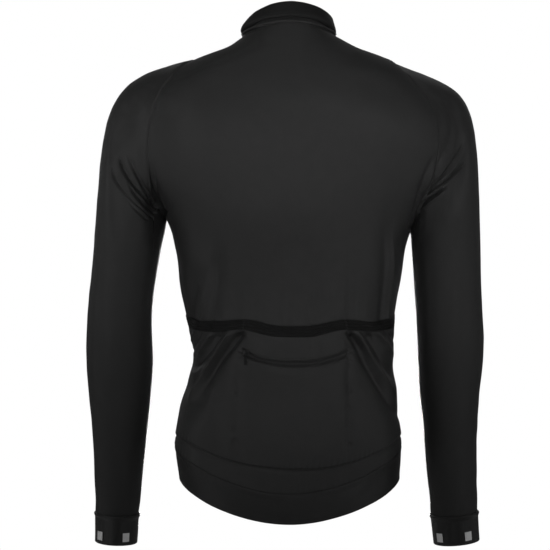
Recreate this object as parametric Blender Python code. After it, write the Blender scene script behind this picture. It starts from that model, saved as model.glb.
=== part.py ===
# Long-sleeved cycling jacket, worn shape with no wearer: hollow, closed front zip, stand collar, drop-tail hem gripper,
# three back pockets under one elastic mouth and a zipped pocket across the middle one.
#
# Frame: metres, +Z up. The front of the jacket faces -Y, the wearer's left is +X. The origin is between the shoulders,
# level with the shoulder line, where the wearer's neck and shoulders carry the jacket.
#
# The body's cloth lies on one surface, torso(angle, level): a stack of rings from the hem edge (level 0) to the neck
# seam (level 15). Every body piece is a wall cut from that surface between its seams. A sleeve is a tube that starts on
# the armhole, which is a closed curve on the same surface.
import bpy
import bmesh
from math import cos, degrees, exp, hypot, pi, radians, sin
from mathutils import Matrix, Vector

# ---------------------------------------------------------------- sizes, metres
CLOTH = .0016            # brushed knit with its facing turned in
SEAM = .0003             # between two pieces at a seam
RIB = .0020              # hem gripper, cuffs
ELASTIC = .0022          # pocket mouth
LAY = .0006              # between the body's cloth and a piece that lies on it
SIDE_SEAM = 96           # degrees from the centre back
SHOULDER_SEAM = 98
HEM_LEVEL, NECK_LEVEL = 1.0, 15.0
ZIP_HALF = .0033         # from the centre front to the edge of each front
TAPE_HALF = .0130
COIL_HALF = .0026
POCKET_END = 92         # degrees from the centre back to the pockets' ends
POCKET_BULGE = .0026
POCKET_SPLIT = (3, 4, 5, 6, 7)       # of the back's columns from either side, those halved for the pocket's folds
SLIDER_PLATE, SLIDER_BRIDGE = .0022, .0024
CUFF_TAB = (.0095, .0115, .0007)     # width, height, thickness

# ---------------------------------------------------------------- tables
# half width to the wearer's left and right, height of the ring at the side, depth and height at the centre back and the
# centre front, squareness of the section behind and in front
RING_COLUMNS = ("name", "left", "right", "side_z", "back_y", "back_z", "front_y", "front_z", "sq_back", "sq_front")
RINGS = (
    ("hem edge",       .1545, .1560, -.588, .106, -.644, -.104, -.562, 2.40, 2.30),
    ("hem seam",       .1600, .1575, -.541, .112, -.603, -.107, -.516, 2.40, 2.30),
    ("seat",           .1530, .1525, -.495, .116, -.545, -.109, -.478, 2.40, 2.30),
    ("low waist",      .1420, .1495, -.453, .109, -.486, -.108, -.437, 2.35, 2.30),
    ("waist",          .1352, .1458, -.412, .095, -.428, -.105, -.397, 2.35, 2.30),
    ("high waist",     .1440, .1488, -.365, .086, -.370, -.104, -.352, 2.35, 2.30),
    ("ribs",           .1532, .1556, -.315, .090, -.313, -.110, -.303, 2.40, 2.35),
    ("low chest",      .1600, .1625, -.268, .102, -.255, -.119, -.250, 2.40, 2.40),
    ("armpit",         .1720, .1790, -.226, .112, -.200, -.125, -.198, 2.45, 2.40),
    ("chest",          .2050, .2140, -.172, .117, -.150, -.122, -.152, 2.45, 2.40),
    ("shoulder joint", .2230, .2290, -.116, .117, -.104, -.114, -.114, 2.40, 2.40),
    ("high shoulder",  .2130, .2180, -.064, .110, -.064, -.104, -.085, 2.35, 2.35),
    ("shoulder tip",   .1790, .1800, -.021, .097, -.030, -.094, -.064, 2.30, 2.30),
    ("mid shoulder",   .1328, .1358,  .001, .080,  .000, -.085, -.048, 2.20, 2.20),
    ("neck slope",     .0915, .0985,  .016, .064,  .024, -.078, -.038, 2.10, 2.10),
    ("neck seam",      .0665, .0660,  .032, .052,  .045, -.074, -.032, 2.00, 2.00),
)

# the armhole, from the underarm up the back, over the shoulder and down the front, as angle and level on the body
ARMHOLE_COLUMNS = ("name", "left_angle", "left_level", "right_angle", "right_level")
ARMHOLE = (
    ("underarm seam",  96.0,  8.03,  96.0,  7.67),
    ("underarm",       86.5,  8.07,  84.0,  7.71),
    ("low back",       77.5,  8.33,  74.5,  8.02),
    ("back notch",     69.0,  8.72,  68.0,  8.45),
    ("blade low",      62.5,  9.15,  64.5,  8.98),
    ("blade",          57.5,  9.78,  61.5,  9.58),
    ("blade high",     55.5, 10.38,  60.0, 10.15),
    ("yoke",           56.0, 10.98,  59.5, 10.72),
    ("yoke high",      57.8, 11.50,  59.2, 11.25),
    ("ridge low",      61.5, 12.08,  60.0, 11.78),
    ("ridge",          73.0, 12.66,  67.0, 12.45),
    ("ridge top",      87.5, 12.97,  84.0, 12.93),
    ("shoulder seam",  98.0, 13.03,  98.0, 13.02),
    ("front ridge",   109.0, 12.82, 109.0, 12.80),
    ("front yoke",    119.0, 12.20, 119.0, 12.15),
    ("front high",    126.5, 11.38, 126.5, 11.35),
    ("front",         129.5, 10.50, 129.5, 10.45),
    ("front low",     127.0,  9.68, 127.0,  9.60),
    ("front notch",   119.0,  8.88, 119.0,  8.75),
    ("low front",     107.5,  8.25, 107.5,  8.02),
)

# sleeve sections below the armhole: height, the centre for each arm, and the width and depth of the oval
SLEEVE_COLUMNS = ("name", "z", "left_x", "right_x", "y", "left_wide", "right_wide", "deep")
SLEEVE = (
    ("biceps",        -.270, .2285, -.2215,  .002, .0935, .0965, .108),
    ("upper arm",     -.310, .2335, -.2230,  .004, .0912, .0945, .103),
    ("above elbow",   -.350, .2375, -.2252,  .006, .0910, .0935, .099),
    ("elbow",         -.390, .2388, -.2272,  .005, .0928, .0940, .097),
    ("forearm",       -.430, .2385, -.2276,  .000, .0935, .0910, .094),
    ("mid forearm",   -.470, .2388, -.2272, -.007, .0885, .0845, .087),
    ("low forearm",   -.510, .2392, -.2288, -.015, .0800, .0775, .079),
    ("above wrist",   -.550, .2402, -.2297, -.023, .0733, .0736, .071),
    ("wrist high",    -.590, .2422, -.2320, -.030, .0680, .0702, .065),
    ("wrist",         -.620, .2430, -.2346, -.035, .0638, .0680, .061),
    ("cuff seam",     -.6405,.2445, -.2356, -.038, .0620, .0672, .059),
    ("cuff edge",     -.6835,.2463, -.2396, -.043, .0600, .0650, .058),
)

# the collar's rings above the neck seam, with the same columns as the body's rings
COLLAR = (
    ("neck seam",      .0665, .0660,  .032, .052,  .045, -.074, -.032, 2.00, 2.00),
    ("tape edge",      .0656, .0652,  .036, .0495, .0562, -.0757, -.026, 2.00, 2.00),
    ("mid collar",     .0622, .0632,  .047, .0420, .0680, -.0795, -.008, 2.00, 2.00),
    ("top edge",       .0505, .0602,  .0580, .0330, .0795, -.0830, .0105, 2.00, 2.00),
)

# the pocket's mouth (upper edge of its elastic) and its bottom seam, as levels at angles from the left side round the
# back to the right; the elastic sags between its anchor points
MOUTH_COLUMNS = ("angle", "top", "bottom", "foot")
MOUTH = (
    (88, 5.14, 4.84, 1.28), (71, 5.05, 4.76, 1.40), (55, 5.00, 4.73, 1.50), (39, 5.01, 4.75, 1.53),
    (25, 5.07, 4.83, 1.56), (17, 5.03, 4.76, 1.59), (8, 4.94, 4.69, 1.60), (-3, 4.92, 4.68, 1.58),
    (-13, 4.94, 4.69, 1.55), (-27, 5.05, 4.82, 1.50), (-34, 5.05, 4.80, 1.47), (-45, 4.98, 4.75, 1.44),
    (-55, 4.98, 4.73, 1.42), (-73, 5.07, 4.76, 1.36), (-88, 5.14, 4.80, 1.26),
)

# the pocket zip's lips, as levels at angles
ZIP_LINE_COLUMNS = ("angle", "top", "bottom")
ZIP_LINE = ((25.5, 4.40, 4.18), (21, 4.26, 4.10), (14, 4.17, 4.03), (4, 4.13, 3.98), (-6, 4.12, 3.97),
            (-16, 4.14, 3.99), (-25, 4.22, 4.05), (-31.5, 4.33, 4.13))

# the largest folds, placed as they are seen from behind: start, middle and end, half width, and how far they stand
# out (+) or sink (-)
FOLD_COLUMNS = ("piece", "x0", "z0", "x1", "z1", "x2", "z2", "half_width", "height")
FOLDS = (
    ("pocket",  .082, -.385,  .108, -.430,  .138, -.480, .0095,  .0045),
    ("pocket",  .064, -.382,  .086, -.398,  .100, -.430, .0085, -.0022),
    ("pocket",  .094, -.380,  .118, -.408,  .134, -.440, .0100, -.0028),
    ("pocket", -.094, -.383, -.118, -.425, -.142, -.468, .0095,  .0045),
    ("pocket", -.082, -.382, -.104, -.412, -.128, -.472, .0100, -.0030),
    ("pocket", -.106, -.384, -.128, -.410, -.143, -.440, .0110, -.0030),
    ("body",    .106, -.250,  .112, -.310,  .121, -.362, .0100,  .0028),
    ("body",    .096, -.235,  .100, -.300,  .104, -.362, .0120, -.0022),
    ("body",   -.143, -.222, -.143, -.280, -.139, -.362, .0100,  .0024),
    ("body",   -.130, -.250, -.131, -.310, -.128, -.362, .0110, -.0022),
)

# rows and columns of each piece's wall
SIDE_ROWS, ARM_ROWS, TOP_COLUMNS = 13, 10, 3   # up the side seam, half the armhole, along the shoulder seam
MOUTH_ROW = 8                                   # of the side seam's rows, the one at the top of the pocket elastic
ARM_NOTCH = 4                                   # of the armhole's rows, those that end the columns below it
NECK_BACK_COLUMNS, NECK_FRONT_COLUMNS = 8, 5
CAP_ROWS = 9
CAP_PUSH = {1: (.50, .00), -1: (.70, -.40)}      # how far the top of each sleeve cap is eased outwards and up
CAP_LEAN = {1: .035, -1: .000}                   # how far the upper arm's outside leans in towards the biceps
CAP_FULL = {1: 1.0, -1: 1.2}                     # how full each upper arm's outside is above the biceps


# ---------------------------------------------------------------- the surfaces
def column(table, names, key):
    i = names.index(key)
    return [row[i] for row in table]


def smooth(values, t):
    """Catmull-Rom value through equally spaced rows."""
    n = len(values) - 1
    t = min(max(t, 0.0), float(n))
    i = min(int(t), n - 1)
    f = t - i
    p1, p2 = values[i], values[i + 1]
    p0 = values[i - 1] if i else 2 * p1 - p2
    p3 = values[i + 2] if i + 2 <= n else 2 * p2 - p1
    return .5 * (2 * p1 + (p2 - p0) * f + (2 * p0 - 5 * p1 + 4 * p2 - p3) * f * f + (3 * p1 - p0 - 3 * p2 + p3) * f ** 3)


def curve_at(table, names, key, angle):
    """A column of a table whose first column is an angle, read smoothly at any angle in its range."""
    angles = column(table, names, "angle")
    values = column(table, names, key)
    angle = min(max(angle, angles[-1]), angles[0])
    i = next(k for k in range(len(angles) - 1) if angle >= angles[k + 1])
    f = (angle - angles[i]) / (angles[i + 1] - angles[i])
    slope = [(values[min(k + 1, len(values) - 1)] - values[max(k - 1, 0)])
             / (angles[min(k + 1, len(values) - 1)] - angles[max(k - 1, 0)]) for k in range(len(values))]
    h = angles[i + 1] - angles[i]
    return ((2 * f ** 3 - 3 * f * f + 1) * values[i] + (f ** 3 - 2 * f * f + f) * h * slope[i]
            + (3 * f * f - 2 * f ** 3) * values[i + 1] + (f ** 3 - f * f) * h * slope[i + 1])


def ring_columns(table):
    return {key: column(table, RING_COLUMNS, key) for key in RING_COLUMNS[1:]}


BODY_RINGS = ring_columns(RINGS)
COLLAR_RINGS = ring_columns(COLLAR)


def ring_point(rings, angle, level):
    """Point of a stack of rings at an angle (0 centre back, 90 the wearer's left, 180 centre front)."""
    a = radians(angle)
    s, c = sin(a), cos(a)
    g = {key: smooth(values, level) for key, values in rings.items()}
    half = .5 * (g["left"] * (1 + s) + g["right"] * (1 - s))
    sq = g["sq_back"] if c > 0 else g["sq_front"]
    k = (abs(s) ** sq + abs(c) ** sq) ** (-1 / sq)
    depth, end_z = (g["back_y"], g["back_z"]) if c > 0 else (-g["front_y"], g["front_z"])
    return Vector((half * s * k, depth * c * k, g["side_z"] + (end_z - g["side_z"]) * c * c))


def ring_normal(rings, angle, level):
    top = len(rings["left"]) - 1
    low, high = max(level - .02, 0), min(level + .02, top)
    across = ring_point(rings, angle + .5, level) - ring_point(rings, angle - .5, level)
    up = ring_point(rings, angle, high) - ring_point(rings, angle, low)
    return up.cross(across).normalized()


def fold(piece, p):
    """How far a piece's cloth stands out of the plain surface at a point of its back."""
    total = 0
    for row in FOLDS:
        name, x0, z0, x1, z1, x2, z2, half_width, height = row
        if name != piece or p.y < -.01:
            continue
        best = None
        for i in range(17):
            f = i / 16
            x = (1 - f) ** 2 * x0 + 2 * f * (1 - f) * x1 + f * f * x2
            z = (1 - f) ** 2 * z0 + 2 * f * (1 - f) * z1 + f * f * z2
            d = hypot(p.x - x, p.z - z)
            if best is None or d < best[0]:
                best = (d, f)
        d, f = best
        ends = sin(pi * min(max(f, .04), .96)) ** .6
        total += height * ends * exp(-(d / half_width) ** 2)
    return total


def torso(angle, level, out=0.0, piece="body"):
    """Point of the body at an angle and a level, moved out along the surface's normal, with the piece's folds."""
    p = ring_point(BODY_RINGS, angle, level)
    n = ring_normal(BODY_RINGS, angle, level)
    return p + n * (out + fold(piece, p))


def side_name(side):
    return "left" if side > 0 else "right"


def resample(points, count):
    """count + 1 fractions of an open run of points, equally far apart along it."""
    total = [0.0]
    for a, b in zip(points, points[1:]):
        total.append(total[-1] + (b - a).length)
    out, j = [], 0
    for i in range(count + 1):
        want = total[-1] * i / count
        while j < len(total) - 2 and total[j + 1] < want:
            j += 1
        step = total[j + 1] - total[j]
        out.append((j + (want - total[j]) / step) if step else float(j))
    return out


def armhole(side, rows):
    """Angle and level of the armhole's points: up the back from the underarm to the shoulder, then down the front."""
    angles = column(ARMHOLE, ARMHOLE_COLUMNS, side_name(side) + "_angle")
    levels = column(ARMHOLE, ARMHOLE_COLUMNS, side_name(side) + "_level")
    n = len(angles)
    shoulder = [row[0] for row in ARMHOLE].index("shoulder seam")

    def at(t):
        i = int(t) % n
        f = t - int(t)

        def cubic(v):
            p0, p1, p2, p3 = v[i - 1], v[i], v[(i + 1) % n], v[(i + 2) % n]
            return .5 * (2 * p1 + (p2 - p0) * f + (2 * p0 - 5 * p1 + 4 * p2 - p3) * f * f
                         + (3 * p1 - p0 - 3 * p2 + p3) * f ** 3)
        return side * cubic(angles), cubic(levels)

    loop = []
    for start, end in ((0, shoulder), (shoulder, n)):
        fine = [start + (end - start) * k / 160 for k in range(161)]
        spots = resample([ring_point(BODY_RINGS, *at(t)) for t in fine], rows)
        run = [at(start + (end - start) * s / 160) for s in spots]
        loop += run[:-1]
    return loop


def centre_levels(angle, rows):
    """Levels from the hem seam to the neck seam, equally far apart along the body at one angle."""
    fine = [HEM_LEVEL + (NECK_LEVEL - HEM_LEVEL) * k / 200 for k in range(201)]
    spots = resample([ring_point(BODY_RINGS, angle, t) for t in fine], rows)
    return [HEM_LEVEL + (NECK_LEVEL - HEM_LEVEL) * s / 200 for s in spots]


def nudge_level(angle, level, distance):
    step = (ring_point(BODY_RINGS, angle, level + .01) - ring_point(BODY_RINGS, angle, level - .01)).length / .02
    return level + distance / step


def nudge_angle(angle, level, distance):
    step = (ring_point(BODY_RINGS, angle + .25, level) - ring_point(BODY_RINGS, angle - .25, level)).length / .5
    return angle + distance / step


def zip_edge_angle(side, level, half=ZIP_HALF):
    width = abs(ring_point(BODY_RINGS, side * 179, level).x)
    return side * (180 - half / width)


def seam_spots(angle, levels, away):
    """Spots up a side seam or a shoulder seam at these levels, moved half a seam's width off its line."""
    return [(nudge_angle(angle, level, away * SEAM / 2), level) for level in levels]


def even(low, high, steps):
    return [low + (high - low) * k / steps for k in range(steps + 1)]


def low_rows(angle):
    """Levels of the back's rows from the hem seam up to the pocket's mouth: the hem seam, then the pocket's foot and its
    rows up to the lower edge of the elastic, then the elastic's upper edge."""
    foot, lower, upper = (curve_at(MOUTH, MOUTH_COLUMNS, key, angle) for key in ("foot", "bottom", "top"))
    return [HEM_LEVEL] + even(foot, lower, MOUTH_ROW - 2) + [upper]


def outer_edge(side, part):
    """One side of the back or a front: its side seam, its half of the armhole and its shoulder seam, from the hem up."""
    hole = armhole(side, ARM_ROWS)
    half = hole[:ARM_ROWS + 1] if part == "back" else [hole[0]] + hole[:ARM_ROWS - 1:-1]
    away = -side if part == "back" else side
    low = low_rows(side * SIDE_SEAM)
    seam = seam_spots(side * SIDE_SEAM, low + even(low[-1], half[0][1], SIDE_ROWS - MOUTH_ROW)[1:], away)
    shoulder = seam_spots(side * SHOULDER_SEAM, even(half[-1][1], NECK_LEVEL, TOP_COLUMNS), away)
    return seam, [seam[-1]] + half[1:-1] + [shoulder[0]], shoulder


def settle(spots, fixed, links):
    """Spread the free spots evenly between the fixed ones: each moves to the middle of those it is linked to, first as
    angles and levels, then as points along the surface."""
    free = [k for k in spots if k not in fixed]
    for _ in range(300):
        for k in free:
            near = links[k]
            spots[k] = (sum(spots[j][0] for j in near) / len(near), sum(spots[j][1] for j in near) / len(near))
    points = {k: ring_point(BODY_RINGS, *spot) for k, spot in spots.items()}
    for _ in range(60):
        for k in free:
            near = links[k]
            want = sum((points[j] for j in near), Vector()) / len(near) - points[k]
            angle, level = spots[k]
            across = ring_point(BODY_RINGS, angle + .5, level) - points[k]
            up = ring_point(BODY_RINGS, angle, level + .02) - points[k]
            aa, bb, ab = across.dot(across), up.dot(up), across.dot(up)
            da, db = want.dot(across), want.dot(up)
            det = aa * bb - ab * ab
            spots[k] = (angle + .5 * (da * bb - db * ab) / det, level + .02 * (db * aa - da * ab) / det)
            points[k] = ring_point(BODY_RINGS, *spots[k])
    return spots


def cut_piece(columns, notch_left, notch_right, edge):
    """Spots and cells of a body piece, a column for each stretch of its foot. Below the armholes it is as wide as its
    foot. The outer columns, as many as notch_left and notch_right say, end on the armholes, and the others run on up to
    the shoulder seams and the neck. edge gives the spots on its outline, keyed by column and row."""
    top = SIDE_ROWS + ARM_ROWS - ARM_NOTCH
    cells = [(c, r) for r in range(top) for c in range(columns)
             if r < SIDE_ROWS or notch_left <= c < columns - notch_right]
    keys = {(c + i, r + j) for c, r in cells for i in (0, 1) for j in (0, 1)}
    spots = {}
    for c, r in keys:
        foot = edge[(c, 0)]
        spots[(c, r)] = edge.get((c, r), (foot[0], 1 + 14 * r / top))
    links = {k: [n for n in ((k[0] - 1, k[1]), (k[0] + 1, k[1]), (k[0], k[1] - 1), (k[0], k[1] + 1)) if n in keys]
             for k in keys}
    settle(spots, set(edge), links)
    spots = {k: (a, nudge_level(a, t, (k[1] == 0) * SEAM / 2 - (t > NECK_LEVEL - .001) * SEAM / 2))
             for k, (a, t) in spots.items()}
    return spots, cells


def back_piece():
    columns = 2 * (ARM_NOTCH + TOP_COLUMNS) + NECK_BACK_COLUMNS
    edge = {}
    for side in (1, -1):
        seam, hole, shoulder = outer_edge(side, "back")
        column_of = (lambda k: k) if side > 0 else (lambda k: columns - k)
        for r, spot in enumerate(seam):
            edge[(column_of(0), r)] = spot
        for k in range(ARM_NOTCH + 1):
            edge[(column_of(k), SIDE_ROWS)] = hole[k]
        for k in range(ARM_NOTCH, ARM_ROWS + 1):
            edge[(column_of(ARM_NOTCH), SIDE_ROWS + k - ARM_NOTCH)] = hole[k]
        for k, spot in enumerate(shoulder):
            edge[(column_of(ARM_NOTCH + k), SIDE_ROWS + ARM_ROWS - ARM_NOTCH)] = spot
    top = SIDE_ROWS + ARM_ROWS - ARM_NOTCH
    for k in range(1, columns):
        first, last = edge[(0, 0)][0], edge[(columns, 0)][0]
        angle = first + (last - first) * k / columns
        for r, level in enumerate(low_rows(angle)):
            edge[(k, r)] = (angle, level)
    low, high = ARM_NOTCH + TOP_COLUMNS, columns - ARM_NOTCH - TOP_COLUMNS
    first, last = edge[(low, top)], edge[(high, top)]
    for k in range(low, high + 1):
        edge[(k, top)] = (first[0] + (last[0] - first[0]) * (k - low) / (high - low), NECK_LEVEL)
    return cut_piece(columns, ARM_NOTCH, ARM_NOTCH, edge)


def front_piece(side):
    columns = ARM_NOTCH + TOP_COLUMNS + NECK_FRONT_COLUMNS
    top = SIDE_ROWS + ARM_ROWS - ARM_NOTCH
    seam, hole, shoulder = outer_edge(side, "front")
    edge = {(0, r): spot for r, spot in enumerate(seam)}
    for k in range(ARM_NOTCH + 1):
        edge[(k, SIDE_ROWS)] = hole[k]
    for k in range(ARM_NOTCH, ARM_ROWS + 1):
        edge[(ARM_NOTCH, SIDE_ROWS + k - ARM_NOTCH)] = hole[k]
    for k, spot in enumerate(shoulder):
        edge[(ARM_NOTCH + k, top)] = spot
    for r, level in enumerate(centre_levels(side * 180, top)):
        edge[(columns, r)] = (zip_edge_angle(side, level), level)
    for r, k, n in ((0, 0, columns), (top, ARM_NOTCH + TOP_COLUMNS, NECK_FRONT_COLUMNS)):
        first, last = edge[(k, r)], edge[(columns, r)]
        for i in range(n + 1):
            edge[(k + i, r)] = (first[0] + (last[0] - first[0]) * i / n, first[1])
    return cut_piece(columns, ARM_NOTCH, 0, edge)


# ---------------------------------------------------------------- meshes
MATERIALS = {
    "knit": ((.026, .026, .027), .88, 0.0), "rib": ((.014, .014, .015), .70, 0.0),
    "tape": ((.030, .030, .031), .60, 0.0), "zip": ((.010, .010, .011), .45, 0.0),
    "metal": ((.020, .020, .022), .35, 0.6), "reflective": ((.80, .80, .80), .35, 0.0),
}


def material(name):
    found = bpy.data.materials.get(name)
    if found:
        return found
    colour, rough, metal = MATERIALS[name]
    m = bpy.data.materials.new(name)
    m.use_nodes = True
    shader = m.node_tree.nodes["Principled BSDF"]
    shader.inputs["Base Color"].default_value = (*colour, 1)
    shader.inputs["Roughness"].default_value = rough
    shader.inputs["Metallic"].default_value = metal
    m.diffuse_color = (*colour, 1)
    return m


def finish_object(name, bm, finish, parent=None, origin=(0, 0, 0)):
    """Put a bmesh in its own object, with its faces pointing out and the object's origin where it is asked for."""
    if bm.calc_volume(signed=True) < 0:
        bmesh.ops.reverse_faces(bm, faces=bm.faces)
    bmesh.ops.translate(bm, verts=bm.verts, vec=-Vector(origin))
    mesh = bpy.data.meshes.new(name)
    bm.to_mesh(mesh)
    bm.free()
    obj = bpy.data.objects.new(name, mesh)
    obj.location = origin
    obj.data.materials.append(material(finish))
    obj.data.shade_smooth()
    obj.data.set_sharp_from_angle(angle=radians(50))
    JACKET.objects.link(obj)
    if parent:
        obj.parent = parent
        obj.matrix_parent_inverse = parent.matrix_world.inverted()
    return obj


def split(skins, ring):
    """Two triangles for a cell of four corners, the same on each skin of the cloth: cut along the diagonal that leaves
    the flatter pair, and along the shorter one where both are flat."""
    corners = [skins[0][k].co for k in ring]
    facing = (corners[2] - corners[0]).cross(corners[3] - corners[1]).normalized()
    choices = []
    for parts in (((0, 1, 2), (0, 2, 3)), ((0, 1, 3), (1, 2, 3))):
        flat = min((corners[j] - corners[i]).cross(corners[k] - corners[i]).normalized().dot(facing)
                   for i, j, k in parts)
        choices.append((flat, parts))
    long = (corners[0] - corners[2]).length / (corners[1] - corners[3]).length
    better = choices[0][0] + .25 / long >= choices[1][0] + .25
    return [[ring[i] for i in part] for part in choices[0 if better else 1][1]]


def wall(name, outer, inner, finish, tube=False):
    """A closed wall of cloth between two rows-and-columns sheets of points, open at its middle when it is a tube. Both
    faces come from the same surface's normals, so the edges of two pieces stay parallel across a seam."""
    rows, cols = len(outer), len(outer[0])
    around = cols if tube else cols - 1
    cells = [(c, r) for r in range(rows - 1) for c in range(around)]
    points = [{(c, r): sheet[r][c] for r in range(rows) for c in range(cols)} for sheet in (outer, inner)]
    return skins_object(name, points, cells, cols, finish)


def skins_object(name, points, cells, wrap, finish):
    """A closed wall from its outer and inner skins' points, keyed by column and row, with a rim along every open edge."""
    bm = bmesh.new()
    skins = [{k: bm.verts.new(p) for k, p in skin.items()} for skin in points]
    border = {}
    for c, r in cells:
        d = (c + 1) % wrap if wrap else c + 1
        ring = [(c, r), (d, r), (d, r + 1), (c, r + 1)]
        for part in split(skins, ring):
            bm.faces.new([skins[0][k] for k in part])
            bm.faces.new([skins[1][k] for k in part[::-1]])
        for a, b in zip(ring, ring[1:] + ring[:1]):
            if (b, a) in border:
                del border[(b, a)]
            else:
                border[(a, b)] = True
    for a, b in border:
        bm.faces.new([skins[0][b], skins[0][a], skins[1][a], skins[1][b]])
    return finish_object(name, bm, finish)


def body_piece(name, piece, finish):
    """A wall of cloth cut from the body's surface, on a piece's spots and cells."""
    spots, cells = piece
    points = [{k: torso(a, t, -deep) for k, (a, t) in spots.items()} for deep in (0, CLOTH)]
    return skins_object(name, points, cells, 0, finish)


# ---------------------------------------------------------------- sleeves
def sleeve_columns(side):
    s = side_name(side)
    x = column(SLEEVE, SLEEVE_COLUMNS, s + "_x")
    wide = column(SLEEVE, SLEEVE_COLUMNS, s + "_wide")
    return (x, column(SLEEVE, SLEEVE_COLUMNS, "y"), column(SLEEVE, SLEEVE_COLUMNS, "z"), wide,
            column(SLEEVE, SLEEVE_COLUMNS, "deep"))


def arm_point(side, turn, station):
    """Point of a sleeve below the armhole. turn: 0 the inside of the arm, 90 its back, 180 its outside, 270 its front."""
    x, y, z, wide, deep = (smooth(v, station) for v in sleeve_columns(side))
    ahead = [smooth(v, min(station + .1, len(SLEEVE) - 1)) - smooth(v, max(station - .1, 0))
             for v in sleeve_columns(side)[:3]]
    axis = Vector(ahead).normalized()
    out = (Vector((side, 0, 0)) - axis * axis.x * side).normalized()
    behind = Vector((0, 1, 0)) - axis * axis.y
    behind = (behind - out * behind.dot(out)).normalized()
    a = radians(turn)
    return Vector((x, y, z)) - out * cos(a) * wide / 2 + behind * sin(a) * deep / 2


def cap_curves(side):
    """For each armhole point: where its line of the sleeve starts and with what slope, and where it joins the biceps."""
    hole = armhole(side, ARM_ROWS)
    n = len(hole)
    points = [ring_point(BODY_RINGS, *spot) for spot in hole]
    curves = []
    for i, (angle, level) in enumerate(hole):
        normal = ring_normal(BODY_RINGS, angle, level)
        along = (points[(i + 1) % n] - points[i - 1]).normalized()
        onward = along.cross(normal).normalized()
        centre = Vector((side * .19, 0, -.11))
        if onward.dot(centre - points[i]) < 0:
            onward = -onward
        turn = 360 * i / n
        top = .5 - .5 * cos(radians(turn))
        end = arm_point(side, turn, 0)
        down = (arm_point(side, turn, .25) - end).normalized() - Vector((side, 0, 0)) * CAP_LEAN[side] * top
        chord = end - points[i]
        straight = chord.normalized()
        leave = (onward * (.15 + .85 * top ** 1.5) + straight * (1.1 - top)).normalized()
        if top < .35:
            leave = leave.lerp(straight, 1 - top / .35).normalized()
        push, lift = CAP_PUSH[side]
        leave = (leave + Vector((side * push, 0, lift)) * top ** 4).normalized()
        gap = (onward * top + normal * (1 - top)).normalized() * SEAM
        reach = chord.length
        full = 1 + (CAP_FULL[side] - 1) * top ** 4
        curves.append((points[i] + gap, leave * reach * (.75 + .75 * top), end,
                       down * reach * (.65 + 1.50 * top * top) * full))
    for _ in range(3):
        slopes = [c[1] for c in curves]
        curves = [(c[0], (slopes[i - 1] + 2 * slopes[i] + slopes[(i + 1) % n]) / 4, c[2], c[3])
                  for i, c in enumerate(curves)]
    return curves


def hermite(curve, f):
    p0, m0, p1, m1 = curve
    return (p0 * (2 * f ** 3 - 3 * f * f + 1) + m0 * (f ** 3 - 2 * f * f + f)
            + p1 * (3 * f * f - 2 * f ** 3) + m1 * (f ** 3 - f * f))


def tube_normals(rows):
    """Outward normals of a tube given as rows of rings of points."""
    out = []
    for r, ring in enumerate(rows):
        n = len(ring)
        middle = sum(ring, Vector()) / n
        line = []
        for c, p in enumerate(ring):
            around = ring[(c + 1) % n] - ring[c - 1]
            up = rows[min(r + 1, len(rows) - 1)][c] - rows[max(r - 1, 0)][c]
            normal = around.cross(up).normalized()
            line.append(-normal if normal.dot(p - middle) < 0 else normal)
        out.append(line)
    return out


def sleeve_rows(side):
    curves = cap_curves(side)
    rows = [[hermite(c, r / CAP_ROWS) for c in curves] for r in range(CAP_ROWS)]
    last = [row[0] for row in SLEEVE].index("cuff seam")
    n = len(curves)
    for station in range(last):
        rows.append([arm_point(side, 360 * i / n, station) for i in range(n)])
    rows.append([arm_point(side, 360 * i / n, last - .006) for i in range(n)])
    return rows


def tube(name, rows, finish, thick):
    normals = tube_normals(rows)
    inner = [[p - n * thick for p, n in zip(row, line)] for row, line in zip(rows, normals)]
    return wall(name, rows, inner, finish, tube=True)


def make_sleeve(side):
    tube("sleeve_" + side_name(side), sleeve_rows(side), "knit", CLOTH)
    first = [row[0] for row in SLEEVE].index("cuff seam")
    n = 2 * ARM_ROWS
    rows = [[arm_point(side, 360 * i / n, first + f) for i in range(n)] for f in (.006, .5, 1.0)]
    normals = tube_normals(rows)
    rows = [[p + q * .0005 for p, q in zip(row, line)] for row, line in zip(rows, normals)]
    tube("cuff_" + side_name(side), rows, "rib", RIB)


# ---------------------------------------------------------------- collar, hem, pocket
def ring_angles(row_of, body_row):
    """Angles of every column line on a body edge, from the left front's zip edge round the back to the right front's."""
    left, right, back = (sorted(((k, spot) for k, spot in piece[0].items() if k[1] == body_row and wanted(k, piece)),
                                key=lambda item: item[0][0])
                         for piece, wanted in ((FRONT[1], row_of), (FRONT[-1], row_of), (BACK, row_of)))
    angles = [spot[0] for _, spot in reversed(left)][:-1]
    angles += [spot[0] for _, spot in back]
    angles += [spot[0] for _, spot in right][1:]
    return angles


def stack_wall(name, rings, angles, levels, finish, thick, out=0.0):
    """A wall round a stack of rings, from one zip edge round the back to the other."""
    skins = []
    for deep in (0, thick):
        rows = []
        for level in levels:
            half = abs(ring_point(rings, 179, level).x)
            row = []
            for k, angle in enumerate(angles):
                if k in (0, len(angles) - 1):
                    angle = (1 if k == 0 else -1) * (180 - ZIP_HALF / half)
                row.append(ring_point(rings, angle, level) + ring_normal(rings, angle, level) * (out - deep))
            rows.append(row)
        skins.append(rows)
    return wall(name, skins[0], skins[1], finish)


def on_back(u, v):
    """Angle, level, point and normal of the back's wall at a column u and a row v, between its own corner points."""
    columns = max(c for c, r in BACK[0])
    c, r = min(int(u), columns - 1), min(int(v), SIDE_ROWS - 1)
    f, g = u - c, v - r
    corners = [BACK_FACE[(c, r)], BACK_FACE[(c + 1, r)], BACK_FACE[(c, r + 1)], BACK_FACE[(c + 1, r + 1)]]
    weights = ((1 - f) * (1 - g), f * (1 - g), (1 - f) * g, f * g)
    return [sum((k[i] * w for k, w in zip(corners, weights)), Vector() if i > 1 else 0.0) for i in range(4)]


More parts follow.
